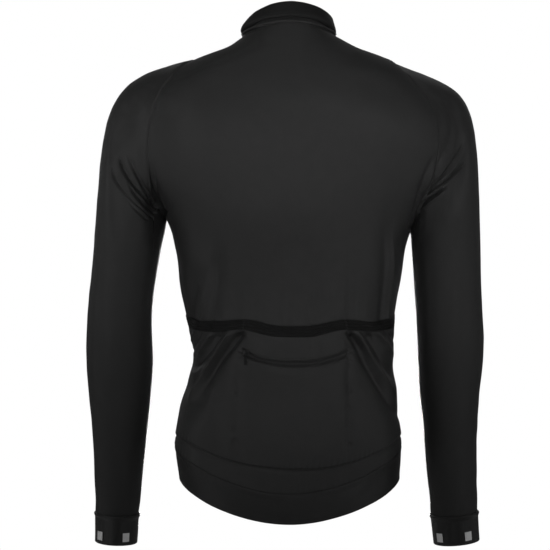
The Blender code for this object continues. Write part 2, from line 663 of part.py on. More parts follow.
def pocket_lift(u, v):
    """How far the pocket cloth stands away from the back: a soft bulge between its seams, as it was cut to hold things,
    with its folds on top. It never sinks into the back."""
    angle, level, point, normal = on_back(u, v)
    f = min(max((v - 1) / (MOUTH_ROW - 2), 0), 1)
    bulge = POCKET_BULGE * sin(pi * f) ** .7 * max(cos(radians(angle)), 0) ** .5
    return max(bulge + fold("pocket", point) * min(1, 6 * f, 6 * (1 - f) + .3), 0)


def pocket_point(u, v, out):
    angle, level, point, normal = on_back(u, v)
    return point + normal * (out + pocket_lift(u, v))


def zip_row(u, key):
    """Row of the back at which a lip of the pocket zip crosses a column."""
    v = 5.5
    for _ in range(6):
        angle, level, point, normal = on_back(u, v)
        v += (curve_at(ZIP_LINE, ZIP_LINE_COLUMNS, key, angle) - level) / (on_back(u, v + .1)[1] - level) * .1
    return v


def back_column(angle):
    first, last = BACK[0][(0, 4)][0], BACK[0][(BACK_COLUMNS, 4)][0]
    return BACK_COLUMNS * (angle - first) / (last - first)


def on_pocket(name, columns, rows, finish, thick, out, lift):
    """A wall over the back at its columns, between its rows, as rows(column) gives them."""
    grid = [[(u, v) for u, v in zip(columns, line)] for line in zip(*[rows(u) for u in columns])]
    skins = []
    for deep in (0, thick):
        skins.append([[on_back(u, v)[2] + on_back(u, v)[3] * (out - deep + (pocket_lift(u, v) if lift else 0))
                       for u, v in row] for row in grid])
    return wall(name, skins[0], skins[1], finish)


# ---------------------------------------------------------------- zips
def front_zip():
    """The closed front zip: two tapes behind the fronts' edges with the coil between them, as one section run up the
    centre front from the hem to the top of the collar. Each side follows the panel that it is sewn to, from the panel's
    edge at the zip to its next column."""
    def edge_pair(rings, side, angles, level):
        """A panel's corner at the zip and its next one at a level, each with its normal."""
        half = abs(ring_point(rings, 179, level).x)
        first = side * (180 - ZIP_HALF / half)
        return [(ring_point(rings, a, level), ring_normal(rings, a, level)) for a in (first, angles)]

    def between(low, high, f):
        return [(a[0].lerp(b[0], f), a[1].lerp(b[1], f)) for a, b in zip(low, high)]

    stations = []
    for side in (1, -1):
        hem, neck = (hem_angles[1], neck_angles[1]) if side > 0 else (hem_angles[-2], neck_angles[-2])
        foot, middle = (edge_pair(BODY_RINGS, side, hem, t) for t in (0, .5))
        line = [between(foot, middle, .1), middle]
        for r in range(TOP_ROW + 1):
            spots = [FRONT[side][0][(FRONT_COLUMNS - k, r)] for k in (0, 1)]
            line.append([(ring_point(BODY_RINGS, *spot), ring_normal(BODY_RINGS, *spot)) for spot in spots])
        line += [edge_pair(COLLAR_RINGS, side, neck, t) for t in (.035, 1, 1.65, 2.3)]
        line.append(between(line[-1], edge_pair(COLLAR_RINGS, side, neck, 3), .9))
        stations.append(line)
    tape, face, coil = -(RIB + SEAM + .0010), -(RIB + SEAM), -.0002
    section = ((TAPE_HALF, tape), (TAPE_HALF, face), (COIL_HALF, face), (COIL_HALF, coil))
    bm = bmesh.new()
    rows = []
    for sides in zip(*stations):
        row = []
        for side, ((edge, n0), (onward, n1)) in zip((1, -1), sides):
            line = []
            for x, depth in section:
                f = (side * x - edge.x) / (onward.x - edge.x)
                line.append(bm.verts.new(edge.lerp(onward, f) + n0.lerp(n1, f).normalized() * depth))
            row += line if side > 0 else line[::-1]
        rows.append(row)
    n = len(rows[0])
    for low, high in zip(rows, rows[1:]):
        for k in range(n):
            bm.faces.new([low[k], low[(k + 1) % n], high[(k + 1) % n], high[k]])
    for corners in ((0, 1, 2), (0, 2, 5), (0, 5, 7), (5, 6, 7), (2, 3, 4), (2, 4, 5)):
        bm.faces.new([rows[0][k] for k in corners[::-1]])
        bm.faces.new([rows[-1][k] for k in corners])
    return finish_object("front_zip", bm, "zip")


def frame_matrix(origin, across, down, normal):
    return Matrix(((across.x, -down.x, normal.x, origin.x), (across.y, -down.y, normal.y, origin.y),
                   (across.z, -down.z, normal.z, origin.z), (0, 0, 0, 1)))


def flat_outline(name, loops, thickness, matrix):
    """A flat piece from closed outlines, the later ones its holes, as a filled 2D curve made into a mesh."""
    data = bpy.data.curves.new(name, "CURVE")
    data.dimensions = "2D"
    data.fill_mode = "BOTH"
    data.extrude = thickness / 2
    for loop in loops:
        spline = data.splines.new("POLY")
        spline.points.add(len(loop) - 1)
        for point, (x, y) in zip(spline.points, loop):
            point.co = (x, y, 0, 1)
        spline.use_cyclic_u = True
    guide = bpy.data.objects.new(name + "_outline", data)
    bpy.context.scene.collection.objects.link(guide)
    bpy.context.view_layer.update()
    mesh = bpy.data.meshes.new_from_object(guide.evaluated_get(bpy.context.evaluated_depsgraph_get()))
    bpy.data.objects.remove(guide, do_unlink=True)
    bm = bmesh.new()
    bm.from_mesh(mesh)
    bpy.data.meshes.remove(mesh)
    bmesh.ops.remove_doubles(bm, verts=bm.verts, dist=.00001)
    bmesh.ops.transform(bm, matrix=matrix, verts=bm.verts)
    return bm


def rounded(width, height, radius, steps=3):
    """Outline of a rectangle with rounded corners, centred."""
    out = []
    for k, (sx, sy) in enumerate(((1, 1), (-1, 1), (-1, -1), (1, -1))):
        for i in range(steps + 1):
            a = radians(90 * (k + i / steps))
            out.append((sx * (width / 2 - radius) + radius * cos(a), sy * (height / 2 - radius) + radius * sin(a)))
    return out


def slider(name, spot, across, down, normal, length, width, bar):
    """A zip slider: a plate that rides over the coil, with a bridge over the pull's bar. spot is the plate's underside.
    Returns the middle of the bar, which the pull swings on."""
    plate = bmesh.new()
    bmesh.ops.create_cube(plate, size=1)
    bmesh.ops.scale(plate, verts=plate.verts, vec=(width, length, SLIDER_PLATE))
    bmesh.ops.bevel(plate, geom=[e for e in plate.edges], offset=.0005, segments=2, affect="EDGES", profile=.6)
    matrix = frame_matrix(spot + normal * SLIDER_PLATE / 2, across, down, normal)
    bmesh.ops.transform(plate, matrix=matrix, verts=plate.verts)
    body = finish_object(name, plate, "metal")
    hole = 2 * bar
    high = .0005 + hole + .0008
    outline = [(-hole / 2 - .0010, -.0004), (hole / 2 + .0010, -.0004), (hole / 2 + .0010, high - .0008),
               (hole / 2 + .0002, high), (-hole / 2 - .0002, high), (-hole / 2 - .0010, high - .0008)]
    window = [(-hole / 2, .0005), (hole / 2, .0005), (hole / 2, .0005 + hole), (-hole / 2, .0005 + hole)]
    top = spot + normal * SLIDER_PLATE
    upright = frame_matrix(top, -down, -normal, across)     # outline x runs up the slider, y away from the cloth
    bridge = flat_outline(name + "_bridge", [outline, window], SLIDER_BRIDGE, upright)
    if bridge.calc_volume(signed=True) < 0:
        bmesh.ops.reverse_faces(bridge, faces=bridge.faces)
    mesh = bpy.data.meshes.new(name + "_bridge")
    bridge.to_mesh(mesh)
    bridge.free()
    cutter = bpy.data.objects.new(name + "_bridge", mesh)
    cutter.hide_render = True
    cutter.display_type = "WIRE"
    TOOLS.objects.link(cutter)
    join = body.modifiers.new("bridge", "BOOLEAN")
    join.operation = "UNION"
    join.solver = "EXACT"
    join.object = cutter
    return top + normal * (.0005 + hole / 2)


def pull_tab(name, pivot, across, down, normal, width, length, bar, tilt, finish):
    """A flat pull with a window at its top, whose upper edge is the bar that the slider's bridge holds."""
    turn = Matrix.Rotation(tilt, 3, across)
    down, normal = turn @ down, turn @ normal
    window_w, window_h = SLIDER_BRIDGE + .0010, .0036
    outline = [(x, y - length / 2 + bar / 2) for x, y in rounded(width, length, width * .32)]
    window = [(x, y - bar / 2 - window_h / 2) for x, y in rounded(window_w, window_h, .0003, 1)]
    bm = flat_outline(name, [outline, window], bar, frame_matrix(pivot, across, down, normal))
    return finish_object(name, bm, finish, origin=pivot)


def cuff_tab(side, name, turn):
    """A plain reflective tab pressed onto a cuff, made from the cuff's own points."""
    first = [row[0] for row in SLEEVE].index("cuff seam")
    width, height, thick = CUFF_TAB
    radius = .030
    rows = []
    for f in (-.5, 0, .5):
        row = []
        for g in (-.5, -.17, .17, .5):
            a = turn + degrees(g * width / radius)
            station = first + .73 + f * height / .043
            p = arm_point(side, a, station)
            q = (arm_point(side, a, station - .02) - arm_point(side, a, station + .02)).cross(
                arm_point(side, a + 2, station) - arm_point(side, a - 2, station)).normalized()
            axis = arm_point(side, 0, station).lerp(arm_point(side, 180, station), .5)
            row.append((p, q if q.dot(p - axis) > 0 else -q))
        rows.append(row)
    lift = .0005 + SEAM
    return wall("cuff_tab_" + name, [[p + q * (lift + thick) for p, q in row] for row in rows],
                [[p + q * lift for p, q in row] for row in rows], "reflective")


# ---------------------------------------------------------------- the build
def clear_scene():
    for obj in list(bpy.data.objects):
        bpy.data.objects.remove(obj, do_unlink=True)


clear_scene()
JACKET = bpy.data.collections.new("cycling_jacket")
TOOLS = bpy.data.collections.new("joining_shapes")
bpy.context.scene.collection.children.link(JACKET)
bpy.context.scene.collection.children.link(TOOLS)

BACK = back_piece()
FRONT = {side: front_piece(side) for side in (1, -1)}
body_piece("back", BACK, "knit")
body_piece("front_left", FRONT[1], "knit")
body_piece("front_right", FRONT[-1], "knit")
for arm in (1, -1):
    make_sleeve(arm)

TOP_ROW = SIDE_ROWS + ARM_ROWS - ARM_NOTCH
hem_angles = ring_angles(lambda k, piece: True, 0)
FRONT_COLUMNS = max(c for c, r in FRONT[1][0])
neck_angles = ring_angles(lambda k, piece: piece[0][k][1] > NECK_LEVEL - .1, TOP_ROW)
stack_wall("hem_gripper", BODY_RINGS, hem_angles, (0, .5, 1 - .0034), "rib", RIB, .0002)
stack_wall("neck_tape", COLLAR_RINGS, neck_angles, (.035, .97), "tape", CLOTH, .0006)
stack_wall("collar", COLLAR_RINGS, neck_angles, (1.0, 1.65, 2.3, 3), "knit", CLOTH)

BACK_COLUMNS = max(c for c, r in BACK[0])
BACK_FACE = {k: (a, t, torso(a, t), ring_normal(BODY_RINGS, a, t)) for k, (a, t) in BACK[0].items()}
ends = [back_column(POCKET_END), back_column(-POCKET_END)]
halves = [k + .5 for k in POCKET_SPLIT] + [BACK_COLUMNS - k - .5 for k in POCKET_SPLIT]
across = sorted(ends + [float(k) for k in range(1, BACK_COLUMNS)] + halves)
on_pocket("pocket_cloth", across, lambda u: [1 + .5 * k for k in range(12)] + [6.93], "knit", CLOTH, LAY + CLOTH, True)
on_pocket("pocket_elastic", ends[:1] + [float(k) for k in range(1, BACK_COLUMNS)] + ends[1:],
          lambda u: [MOUTH_ROW - 1.0, float(MOUTH_ROW)], "rib", ELASTIC, LAY + ELASTIC, False)
ON_POCKET = LAY + CLOTH + SEAM
zip_ends = [back_column(ZIP_LINE[0][0]), back_column(ZIP_LINE[-1][0])]
inside = [u for u in across if zip_ends[0] + .2 < u < zip_ends[1] - .2]
on_pocket("pocket_zip", zip_ends[:1] + inside + zip_ends[1:], lambda u: [zip_row(u, "bottom"), zip_row(u, "top")],
          "zip", .0010, ON_POCKET + .0010, True)
front_zip()

# front slider at the top of the collar, its pull hanging straight down
z = 2.55
here = ring_point(COLLAR_RINGS, 180, z)
out = ring_normal(COLLAR_RINGS, 180, z)
down = (ring_point(COLLAR_RINGS, 180, z - .1) - ring_point(COLLAR_RINGS, 180, z + .1)).normalized()
pivot = slider("front_zip_slider", here + out * SEAM, Vector((-1, 0, 0)), down, out, .0105, .0085, .0011)
pull_tab("front_zip_pull", pivot, Vector((-1, 0, 0)), Vector((0, 0, -1)), Vector((0, -1, 0)), .0062, .0270, .0011, 0,
         "zip")

# pocket zip slider at the left end of its zip, its pull lying against the pocket cloth
u = back_column(24.0)
v = .5 * (zip_row(u, "bottom") + zip_row(u, "top"))
here = pocket_point(u, v, ON_POCKET + .0010 + SEAM)
out = (pocket_point(u + .2, v, .004) - pocket_point(u - .2, v, .004)).cross(
    pocket_point(u, v - .2, .004) - pocket_point(u, v + .2, .004)).normalized()
out = out if out.y > 0 else -out
down = (Vector((0, 0, -1)) + out * out.z).normalized()
across = out.cross(down).normalized()
pivot = slider("pocket_zip_slider", here, across, down, out, .0060, .0080, .0010)
pull_tab("pocket_zip_pull", pivot, across, down, out, .0038, .0175, .0010, radians(7), "zip")

for arm, name, turn in ((1, "left_outer", 135.6), (1, "left_inner", 61.0), (-1, "right_inner", 43.0),
                        (-1, "right_outer", 118.0)):
    cuff_tab(arm, name, turn)
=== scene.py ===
# Looks of the long-sleeved cycling jacket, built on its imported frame: every cloth piece is a fine sheet on the same
# surfaces as its solid, with its seams, folds, gathers, stitches and knit.
#
# Frame: metres, +Z up, the front of the jacket faces -Y, the wearer's left is +X. The view is from behind, so the left
# of the picture is the wearer's left. Places in the tables named sight_x and sight_y are where the photograph shows
# them, in its 550 x 550 frame; heights and widths of folds are millimetres.
import bpy
from math import cos, pi, radians, sin
import numpy as np
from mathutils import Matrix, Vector, bvhtree, kdtree


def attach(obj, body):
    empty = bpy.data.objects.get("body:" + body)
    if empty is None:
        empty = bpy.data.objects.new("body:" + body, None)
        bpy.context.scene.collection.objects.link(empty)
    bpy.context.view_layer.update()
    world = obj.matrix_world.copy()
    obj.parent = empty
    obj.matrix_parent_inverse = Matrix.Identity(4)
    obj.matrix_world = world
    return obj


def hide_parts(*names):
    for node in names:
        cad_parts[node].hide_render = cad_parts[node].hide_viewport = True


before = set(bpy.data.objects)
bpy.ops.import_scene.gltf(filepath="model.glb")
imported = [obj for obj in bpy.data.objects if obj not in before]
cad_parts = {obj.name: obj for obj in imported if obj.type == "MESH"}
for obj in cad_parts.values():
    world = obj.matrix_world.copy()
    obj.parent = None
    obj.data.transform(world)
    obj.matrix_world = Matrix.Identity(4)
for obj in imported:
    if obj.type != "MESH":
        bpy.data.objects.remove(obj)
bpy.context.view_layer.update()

# ---------------------------------------------------------------- the camera, which the tables' places are seen from
FRAME_SIZE = 550
CAM_X, CAM_D, CAM_Z = .0197, 3.5, -.303
SCALE = .00141                    # metres a picture element covers at Y = 0

camera = bpy.data.objects.new("camera", bpy.data.cameras.new("camera"))
bpy.context.scene.collection.objects.link(camera)
camera.location = (CAM_X, CAM_D, CAM_Z)
camera.rotation_euler = (radians(90), 0, radians(180))
camera.data.sensor_width = 36
camera.data.lens = 36 * CAM_D / (FRAME_SIZE * SCALE)
bpy.context.scene.camera = camera


def sight(p):
    """Where points are seen in the picture."""
    k = CAM_D / (CAM_D - p[..., 1]) / SCALE
    return FRAME_SIZE / 2 - (p[..., 0] - CAM_X) * k, FRAME_SIZE / 2 - (p[..., 2] - CAM_Z) * k


# ---------------------------------------------------------------- sizes, metres
CLOTH = .0016
LAY = .0006
SIDE_SEAM, SHOULDER_SEAM = 96.0, 98.0
HEM_LEVEL, NECK_LEVEL = 1.0, 15.0
ZIP_HALF = .0033
COIL_HALF = .0026
POCKET_BULGE = .0026
SIDE_ROWS, ARM_ROWS, TOP_COLUMNS = 13, 10, 3
ARM_NOTCH = 4
NECK_BACK_COLUMNS, NECK_FRONT_COLUMNS = 8, 5
CAP_PUSH = {1: (.50, .00), -1: (.70, -.40)}
CAP_LEAN = {1: .035, -1: .000}
CAP_FULL = {1: 1.0, -1: 1.2}
SEAM_DEEP, SEAM_WIDE = .0009, .0011      # the valley where two pieces are sewn together
STITCH = (.0024, .00050, .00025)          # length, width and height of one stitch
STITCH_STEP = .0036

# ---------------------------------------------------------------- the forms, as in the part
RING_COLUMNS = ("name", "left", "right", "side_z", "back_y", "back_z", "front_y", "front_z", "sq_back", "sq_front")
RINGS = (
    ("hem edge",       .1545, .1560, -.588, .106, -.644, -.104, -.562, 2.40, 2.30),
    ("hem seam",       .1600, .1575, -.541, .112, -.603, -.107, -.516, 2.40, 2.30),
    ("seat",           .1530, .1525, -.495, .116, -.545, -.109, -.478, 2.40, 2.30),
    ("low waist",      .1420, .1495, -.453, .109, -.486, -.108, -.437, 2.35, 2.30),
    ("waist",          .1352, .1458, -.412, .095, -.428, -.105, -.397, 2.35, 2.30),
    ("high waist",     .1440, .1488, -.365, .086, -.370, -.104, -.352, 2.35, 2.30),
    ("ribs",           .1532, .1556, -.315, .090, -.313, -.110, -.303, 2.40, 2.35),
    ("low chest",      .1600, .1625, -.268, .102, -.255, -.119, -.250, 2.40, 2.40),
    ("armpit",         .1720, .1790, -.226, .112, -.200, -.125, -.198, 2.45, 2.40),
    ("chest",          .2050, .2140, -.172, .117, -.150, -.122, -.152, 2.45, 2.40),
    ("shoulder joint", .2230, .2290, -.116, .117, -.104, -.114, -.114, 2.40, 2.40),
    ("high shoulder",  .2130, .2180, -.064, .110, -.064, -.104, -.085, 2.35, 2.35),
    ("shoulder tip",   .1790, .1800, -.021, .097, -.030, -.094, -.064, 2.30, 2.30),
    ("mid shoulder",   .1328, .1358,  .001, .080,  .000, -.085, -.048, 2.20, 2.20),
    ("neck slope",     .0915, .0985,  .016, .064,  .024, -.078, -.038, 2.10, 2.10),
    ("neck seam",      .0665, .0660,  .032, .052,  .045, -.074, -.032, 2.00, 2.00),
)
ARMHOLE_COLUMNS = ("name", "left_angle", "left_level", "right_angle", "right_level")
ARMHOLE = (
    ("underarm seam",  96.0,  8.03,  96.0,  7.67),
    ("underarm",       86.5,  8.07,  84.0,  7.71),
    ("low back",       77.5,  8.33,  74.5,  8.02),
    ("back notch",     69.0,  8.72,  68.0,  8.45),
    ("blade low",      62.5,  9.15,  64.5,  8.98),
    ("blade",          57.5,  9.78,  61.5,  9.58),
    ("blade high",     55.5, 10.38,  60.0, 10.15),
    ("yoke",           56.0, 10.98,  59.5, 10.72),
    ("yoke high",      57.8, 11.50,  59.2, 11.25),
    ("ridge low",      61.5, 12.08,  60.0, 11.78),
    ("ridge",          73.0, 12.66,  67.0, 12.45),
    ("ridge top",      87.5, 12.97,  84.0, 12.93),
    ("shoulder seam",  98.0, 13.03,  98.0, 13.02),
    ("front ridge",   109.0, 12.82, 109.0, 12.80),
    ("front yoke",    119.0, 12.20, 119.0, 12.15),
    ("front high",    126.5, 11.38, 126.5, 11.35),
    ("front",         129.5, 10.50, 129.5, 10.45),
    ("front low",     127.0,  9.68, 127.0,  9.60),
    ("front notch",   119.0,  8.88, 119.0,  8.75),
    ("low front",     107.5,  8.25, 107.5,  8.02),
)
SLEEVE_COLUMNS = ("name", "z", "left_x", "right_x", "y", "left_wide", "right_wide", "deep")
SLEEVE = (
    ("biceps",        -.270, .2285, -.2215,  .002, .0935, .0965, .108),
    ("upper arm",     -.310, .2335, -.2230,  .004, .0912, .0945, .103),
    ("above elbow",   -.350, .2375, -.2252,  .006, .0910, .0935, .099),
    ("elbow",         -.390, .2388, -.2272,  .005, .0928, .0940, .097),
    ("forearm",       -.430, .2385, -.2276,  .000, .0935, .0910, .094),
    ("mid forearm",   -.470, .2388, -.2272, -.007, .0885, .0845, .087),
    ("low forearm",   -.510, .2392, -.2288, -.015, .0800, .0775, .079),
    ("above wrist",   -.550, .2402, -.2297, -.023, .0733, .0736, .071),
    ("wrist high",    -.590, .2422, -.2320, -.030, .0680, .0702, .065),
    ("wrist",         -.620, .2430, -.2346, -.035, .0638, .0680, .061),
    ("cuff seam",     -.6405,.2445, -.2356, -.038, .0620, .0672, .059),
    ("cuff edge",     -.6835,.2463, -.2396, -.043, .0600, .0650, .058),
)
COLLAR = (
    ("neck seam",      .0665, .0660,  .032, .052,  .045, -.074, -.032, 2.00, 2.00),
    ("tape edge",      .0656, .0652,  .036, .0495, .0562, -.0757, -.026, 2.00, 2.00),
    ("mid collar",     .0622, .0632,  .047, .0420, .0680, -.0795, -.008, 2.00, 2.00),
    ("top edge",       .0505, .0602,  .0580, .0330, .0795, -.0830, .0105, 2.00, 2.00),
)
MOUTH_COLUMNS = ("angle", "top", "bottom", "foot")
MOUTH = (
    (88, 5.14, 4.84, 1.28), (71, 5.05, 4.76, 1.40), (55, 5.00, 4.73, 1.50), (39, 5.01, 4.75, 1.53),
    (25, 5.07, 4.83, 1.56), (17, 5.03, 4.76, 1.59), (8, 4.94, 4.69, 1.60), (-3, 4.92, 4.68, 1.58),
    (-13, 4.94, 4.69, 1.55), (-27, 5.05, 4.82, 1.50), (-34, 5.05, 4.80, 1.47), (-45, 4.98, 4.75, 1.44),
    (-55, 4.98, 4.73, 1.42), (-73, 5.07, 4.76, 1.36), (-88, 5.14, 4.80, 1.26),
)
ZIP_LINE_COLUMNS = ("angle", "top", "bottom")
ZIP_LINE = ((25.5, 4.40, 4.18), (21, 4.26, 4.10), (14, 4.17, 4.03), (4, 4.13, 3.98), (-6, 4.12, 3.97),
            (-16, 4.14, 3.99), (-25, 4.22, 4.05), (-31.5, 4.33, 4.13))

# ---------------------------------------------------------------- folds
# A fold runs through three places. left and right are its half widths to either side of it as it is seen running
# down, height is how far it stands out (+) or sinks (-); top and foot say over what part of its length it fades in and
# out; crisp is 1 for a sharp line, 2 for a soft one.
FOLD_COLUMNS = ("name", "x0", "y0", "x1", "y1", "x2", "y2", "left", "right", "height", "top", "foot", "crisp")
BACK_FOLDS = (
    ("left tuck",          213, 236, 208, 282, 202, 323,  9.0,  1.7,   3.2, .50, .00, 1.3),
    ("left tuck trough",   220, 228, 216, 282, 212, 323,  4.5, 12.0,  -6.2, .55, .00, 1.6),
    ("left tuck bay",      197, 270, 195, 295, 193, 323,  7.0,  6.0,  -2.4, .60, .00, 2.0),
    ("left blade fall",    190, 200, 206, 238, 219, 300, 16.0, 18.0,  -2.8, .70, .70, 2.0),
    ("right tuck",         392, 212, 392, 265, 389, 320,  1.5,  5.0,   1.8, .45, .00, 1.3),
    ("right tuck trough",  385, 215, 385, 270, 383, 320,  8.0,  4.0,  -3.6, .50, .00, 1.8),
    ("right blade fall",   398, 190, 391, 225, 386, 285, 12.0, 10.0,  -2.5, .70, .70, 2.0),
    ("mid streak",         350, 240, 350, 282, 348, 322,  5.0,  9.0,  -3.2, .65, .00, 2.0),
    ("mid streak ridge",   337, 258, 336, 290, 334, 322,  7.0,  6.0,   0.9, .70, .00, 2.0),
    ("left streak",        247, 262, 245, 292, 243, 322,  6.0,  8.0,  -2.0, .70, .00, 2.0),
    ("left streak ridge",  262, 270, 261, 296, 259, 322,  7.0,  6.0,   0.8, .70, .00, 2.0),
    ("centre streak",      289, 284, 288, 304, 287, 326,  4.0,  5.0,  -1.3, .70, .00, 2.0),
    ("right streak",       313, 278, 312, 300, 311, 326,  4.0,  5.0,  -1.6, .70, .00, 2.0),
    ("right streak ridge", 366, 262, 366, 292, 364, 322,  7.0,  6.0,   0.9, .70, .00, 2.0),
    ("left armpit edge",   154, 167, 155, 190, 164, 214,  1.7,  2.6,  -3.6, .30, .00, 1.3),
    ("left armpit short",  176, 196, 169, 206, 164, 214,  1.7,  2.0,  -2.4, .60, .00, 1.3),
    ("right armpit edge",  437, 152, 424, 182, 410, 227,  1.8,  1.5,  -3.8, .40, .00, 1.2),
    ("right armpit roll",  431, 150, 416, 184, 403, 232, 16.0,  7.0,   2.2, .60, .40, 1.8),
    ("right armpit band",  437, 160, 431, 178, 424, 196,  2.4,  3.0,   2.0, .50, .20, 1.6),
    ("left yoke",          240,  72, 214,  84, 190,  92, 16.0, 16.0,  -2.0, .60, .60, 2.0),
    ("right yoke",         348,  74, 378,  86, 408,  98, 16.0, 16.0,  -2.0, .60, .60, 2.0),
    ("left armpit shade",  158, 180, 160, 198, 165, 213,  3.0,  6.0,  -1.4, .50, .00, 1.8),
)
POCKET_FOLDS = (
    ("left ridge",         230, 330, 211, 365, 187, 407,  3.2,  3.0,   6.8, .03, .20, 1.3),
    ("left trough",        243, 330, 224, 353, 194, 405,  4.2,  9.0,  -8.5, .04, .25, 1.6),
    ("left upper trough",  226, 330, 209, 352, 193, 373,  9.5,  4.5,  -7.5, .03, .30, 1.8),
    ("left second ridge",  213, 330, 205, 346, 193, 364,  2.2,  2.6,   4.2, .03, .50, 1.4),
    ("left second trough", 204, 330, 198, 342, 191, 354,  2.4,  2.8,  -3.6, .03, .50, 1.5),
    ("left notch",         191, 349, 193, 351, 196, 352,  2.2,  2.2,  -2.0, .30, .60, 1.4),
    ("left low bay",       214, 386, 203, 402, 190, 416, 10.0, 14.0,  -2.5, .60, .60, 2.0),
    ("left gather a",      218, 330, 214, 337, 210, 344,  1.8,  1.8,  -2.6, .05, .60, 1.5),
    ("left gather b",      238, 329, 234, 336, 229, 343,  1.8,  1.8,   2.2, .05, .60, 1.5),
    ("right ridge",        357, 331, 374, 365, 397, 400,  3.4,  3.0,   6.0, .03, .35, 1.3),
    ("right trough",       348, 330, 365, 361, 395, 412,  7.5,  4.8,  -8.5, .03, .25, 1.6),
    ("right low trough",   378, 388, 388, 405, 401, 421,  7.0,  5.0,  -3.0, .50, .20, 1.8),
    ("right outer trough", 364, 331, 379, 355, 397, 388,  4.8, 11.0,  -8.5, .03, .30, 1.8),
    ("right outer ridge",  377, 331, 386, 345, 396, 362,  2.6,  2.8,   4.2, .05, .60, 1.5),
    ("right inner ridge",  344, 333, 353, 347, 361, 361,  3.0,  3.4,   2.0, .10, .60, 1.6),
    ("right gather a",     386, 330, 391, 338, 396, 346,  2.0,  2.0,  -2.8, .05, .60, 1.5),
    ("left split dip",     239, 356, 238, 410, 235, 464,  6.0,  6.0,   -.9, .30, .10, 1.8),
    ("right split dip",    348, 356, 348, 410, 348, 465,  5.0,  6.0,  -1.3, .30, .10, 1.8),
    ("zip shelf",          247, 366, 296, 376, 345, 366, 10.0,  7.0,  -.9, .20, .20, 2.0),
    ("left flat",          208, 366, 198, 382, 188, 398,  8.0,  4.0,  -2.8, .50, .50, 1.8),
    ("left third ridge",   196, 330, 193, 338, 189, 346,  2.0,  2.2,   2.4, .05, .50, 1.5),
    ("left gather c",      228, 330, 223, 338, 218, 346,  1.8,  1.8,  -2.4, .05, .60, 1.5),
    ("right gather b",     370, 330, 374, 338, 378, 346,  1.8,  1.8,   1.8, .05, .60, 1.5),
    ("left lump",          237, 391, 236, 397, 236, 402,  3.0,  3.0,   1.6, .40, .40, 2.0),
    ("left lump low",      234, 423, 233, 428, 233, 433,  3.0,  3.0,   1.4, .40, .40, 2.0),
    ("left dent",          235, 437, 235, 441, 235, 446,  2.4,  2.4,   -.9, .40, .40, 2.0),
    ("right dent a",       348, 386, 349, 390, 350, 394,  2.0,  2.4,  -1.0, .40, .40, 1.8),
    ("right dent b",       348, 404, 347, 407, 346, 411,  2.4,  2.0,  -1.6, .40, .40, 1.8),
    ("right dent c",       348, 441, 349, 445, 350, 450,  2.0,  2.6,  -1.8, .40, .40, 1.8),
    ("left trough core",   246, 329, 235, 343, 220, 362,  2.0,  2.6,  -5.0, .00, .50, 1.3),
    ("right trough core",  347, 329, 358, 343, 370, 364,  2.6,  2.0,  -5.0, .00, .50, 1.3),
    ("zip left wrinkle a", 237, 351, 242, 352, 248, 357,  1.2,  1.2,  -1.6, .40, .20, 1.3),
    ("zip left wrinkle b", 238, 357, 241, 357, 244, 357,  1.1,  1.1,  -1.2, .40, .20, 1.3),
    ("zip right wrinkle a",346, 354, 350, 352, 355, 351,  1.2,  1.2,  -1.5, .20, .40, 1.3),
    ("zip right wrinkle b",346, 358, 350, 359, 355, 361,  1.3,  1.3,  -1.5, .20, .40, 1.3),
    ("zip right wrinkle c",345, 361, 348, 365, 351, 369,  1.3,  1.3,  -1.2, .20, .40, 1.3),
)
SPLITS = ((236.0, 440, 465), (348.0, 352, 466))     # the pockets' dividing seams: sight_x, and from where to where
LEFT_SLEEVE_FOLDS = (
    ("crease a",           111, 166, 121, 189, 154, 218,  1.3,  1.5,  -4.2, .25, .05, 1.1),
    ("crease a lip",       114, 171, 126, 194, 156, 219,  2.2,  2.0,   2.1, .40, .10, 1.5),
    ("crease b",           119, 156, 129, 181, 157, 208,  1.5,  1.9,  -5.6, .20, .00, 1.1),
    ("crease b lip",       123, 160, 134, 184, 158, 209,  2.2,  1.6,   1.9, .40, .10, 1.5),
    ("crease b low",       127, 180, 137, 198, 156, 213,  1.5,  1.8,  -4.6, .40, .00, 1.2),
    ("crease c",           126, 153, 138, 180, 155, 205,  1.1,  1.4,  -3.7, .35, .00, 1.1),
    ("crease c lip",       130, 155, 141, 180, 156, 203,  2.0,  1.5,   1.8, .50, .10, 1.5),
    ("crease d",           145, 146, 148, 160, 149, 174,  2.6,  2.6,  -2.5, .60, .60, 1.8),
    ("crease g",           126, 198, 137, 211, 150, 221,  1.8,  1.7,  -2.5, .70, .20, 1.3),
    ("armpit hollow",      148, 196, 154, 212, 157, 240,  9.0,  9.0, -3.0, .60, .70, 2.0),
    ("elbow soft a",       150, 352, 130, 362, 104, 366,  9.0,  9.0,  -.9, .50, .70, 2.0),
    ("elbow soft b",       151, 372, 132, 378, 112, 376,  8.0,  8.0,  -.7, .50, .70, 2.0),
    ("crease e",           130, 154, 134, 165, 138, 177,  1.8,  1.8,  -1.9, .50, .60, 1.5),
    ("seam lip",           150, 168, 150, 183, 152, 198,  1.6,  1.2,   1.2, .50, .50, 1.5),
)
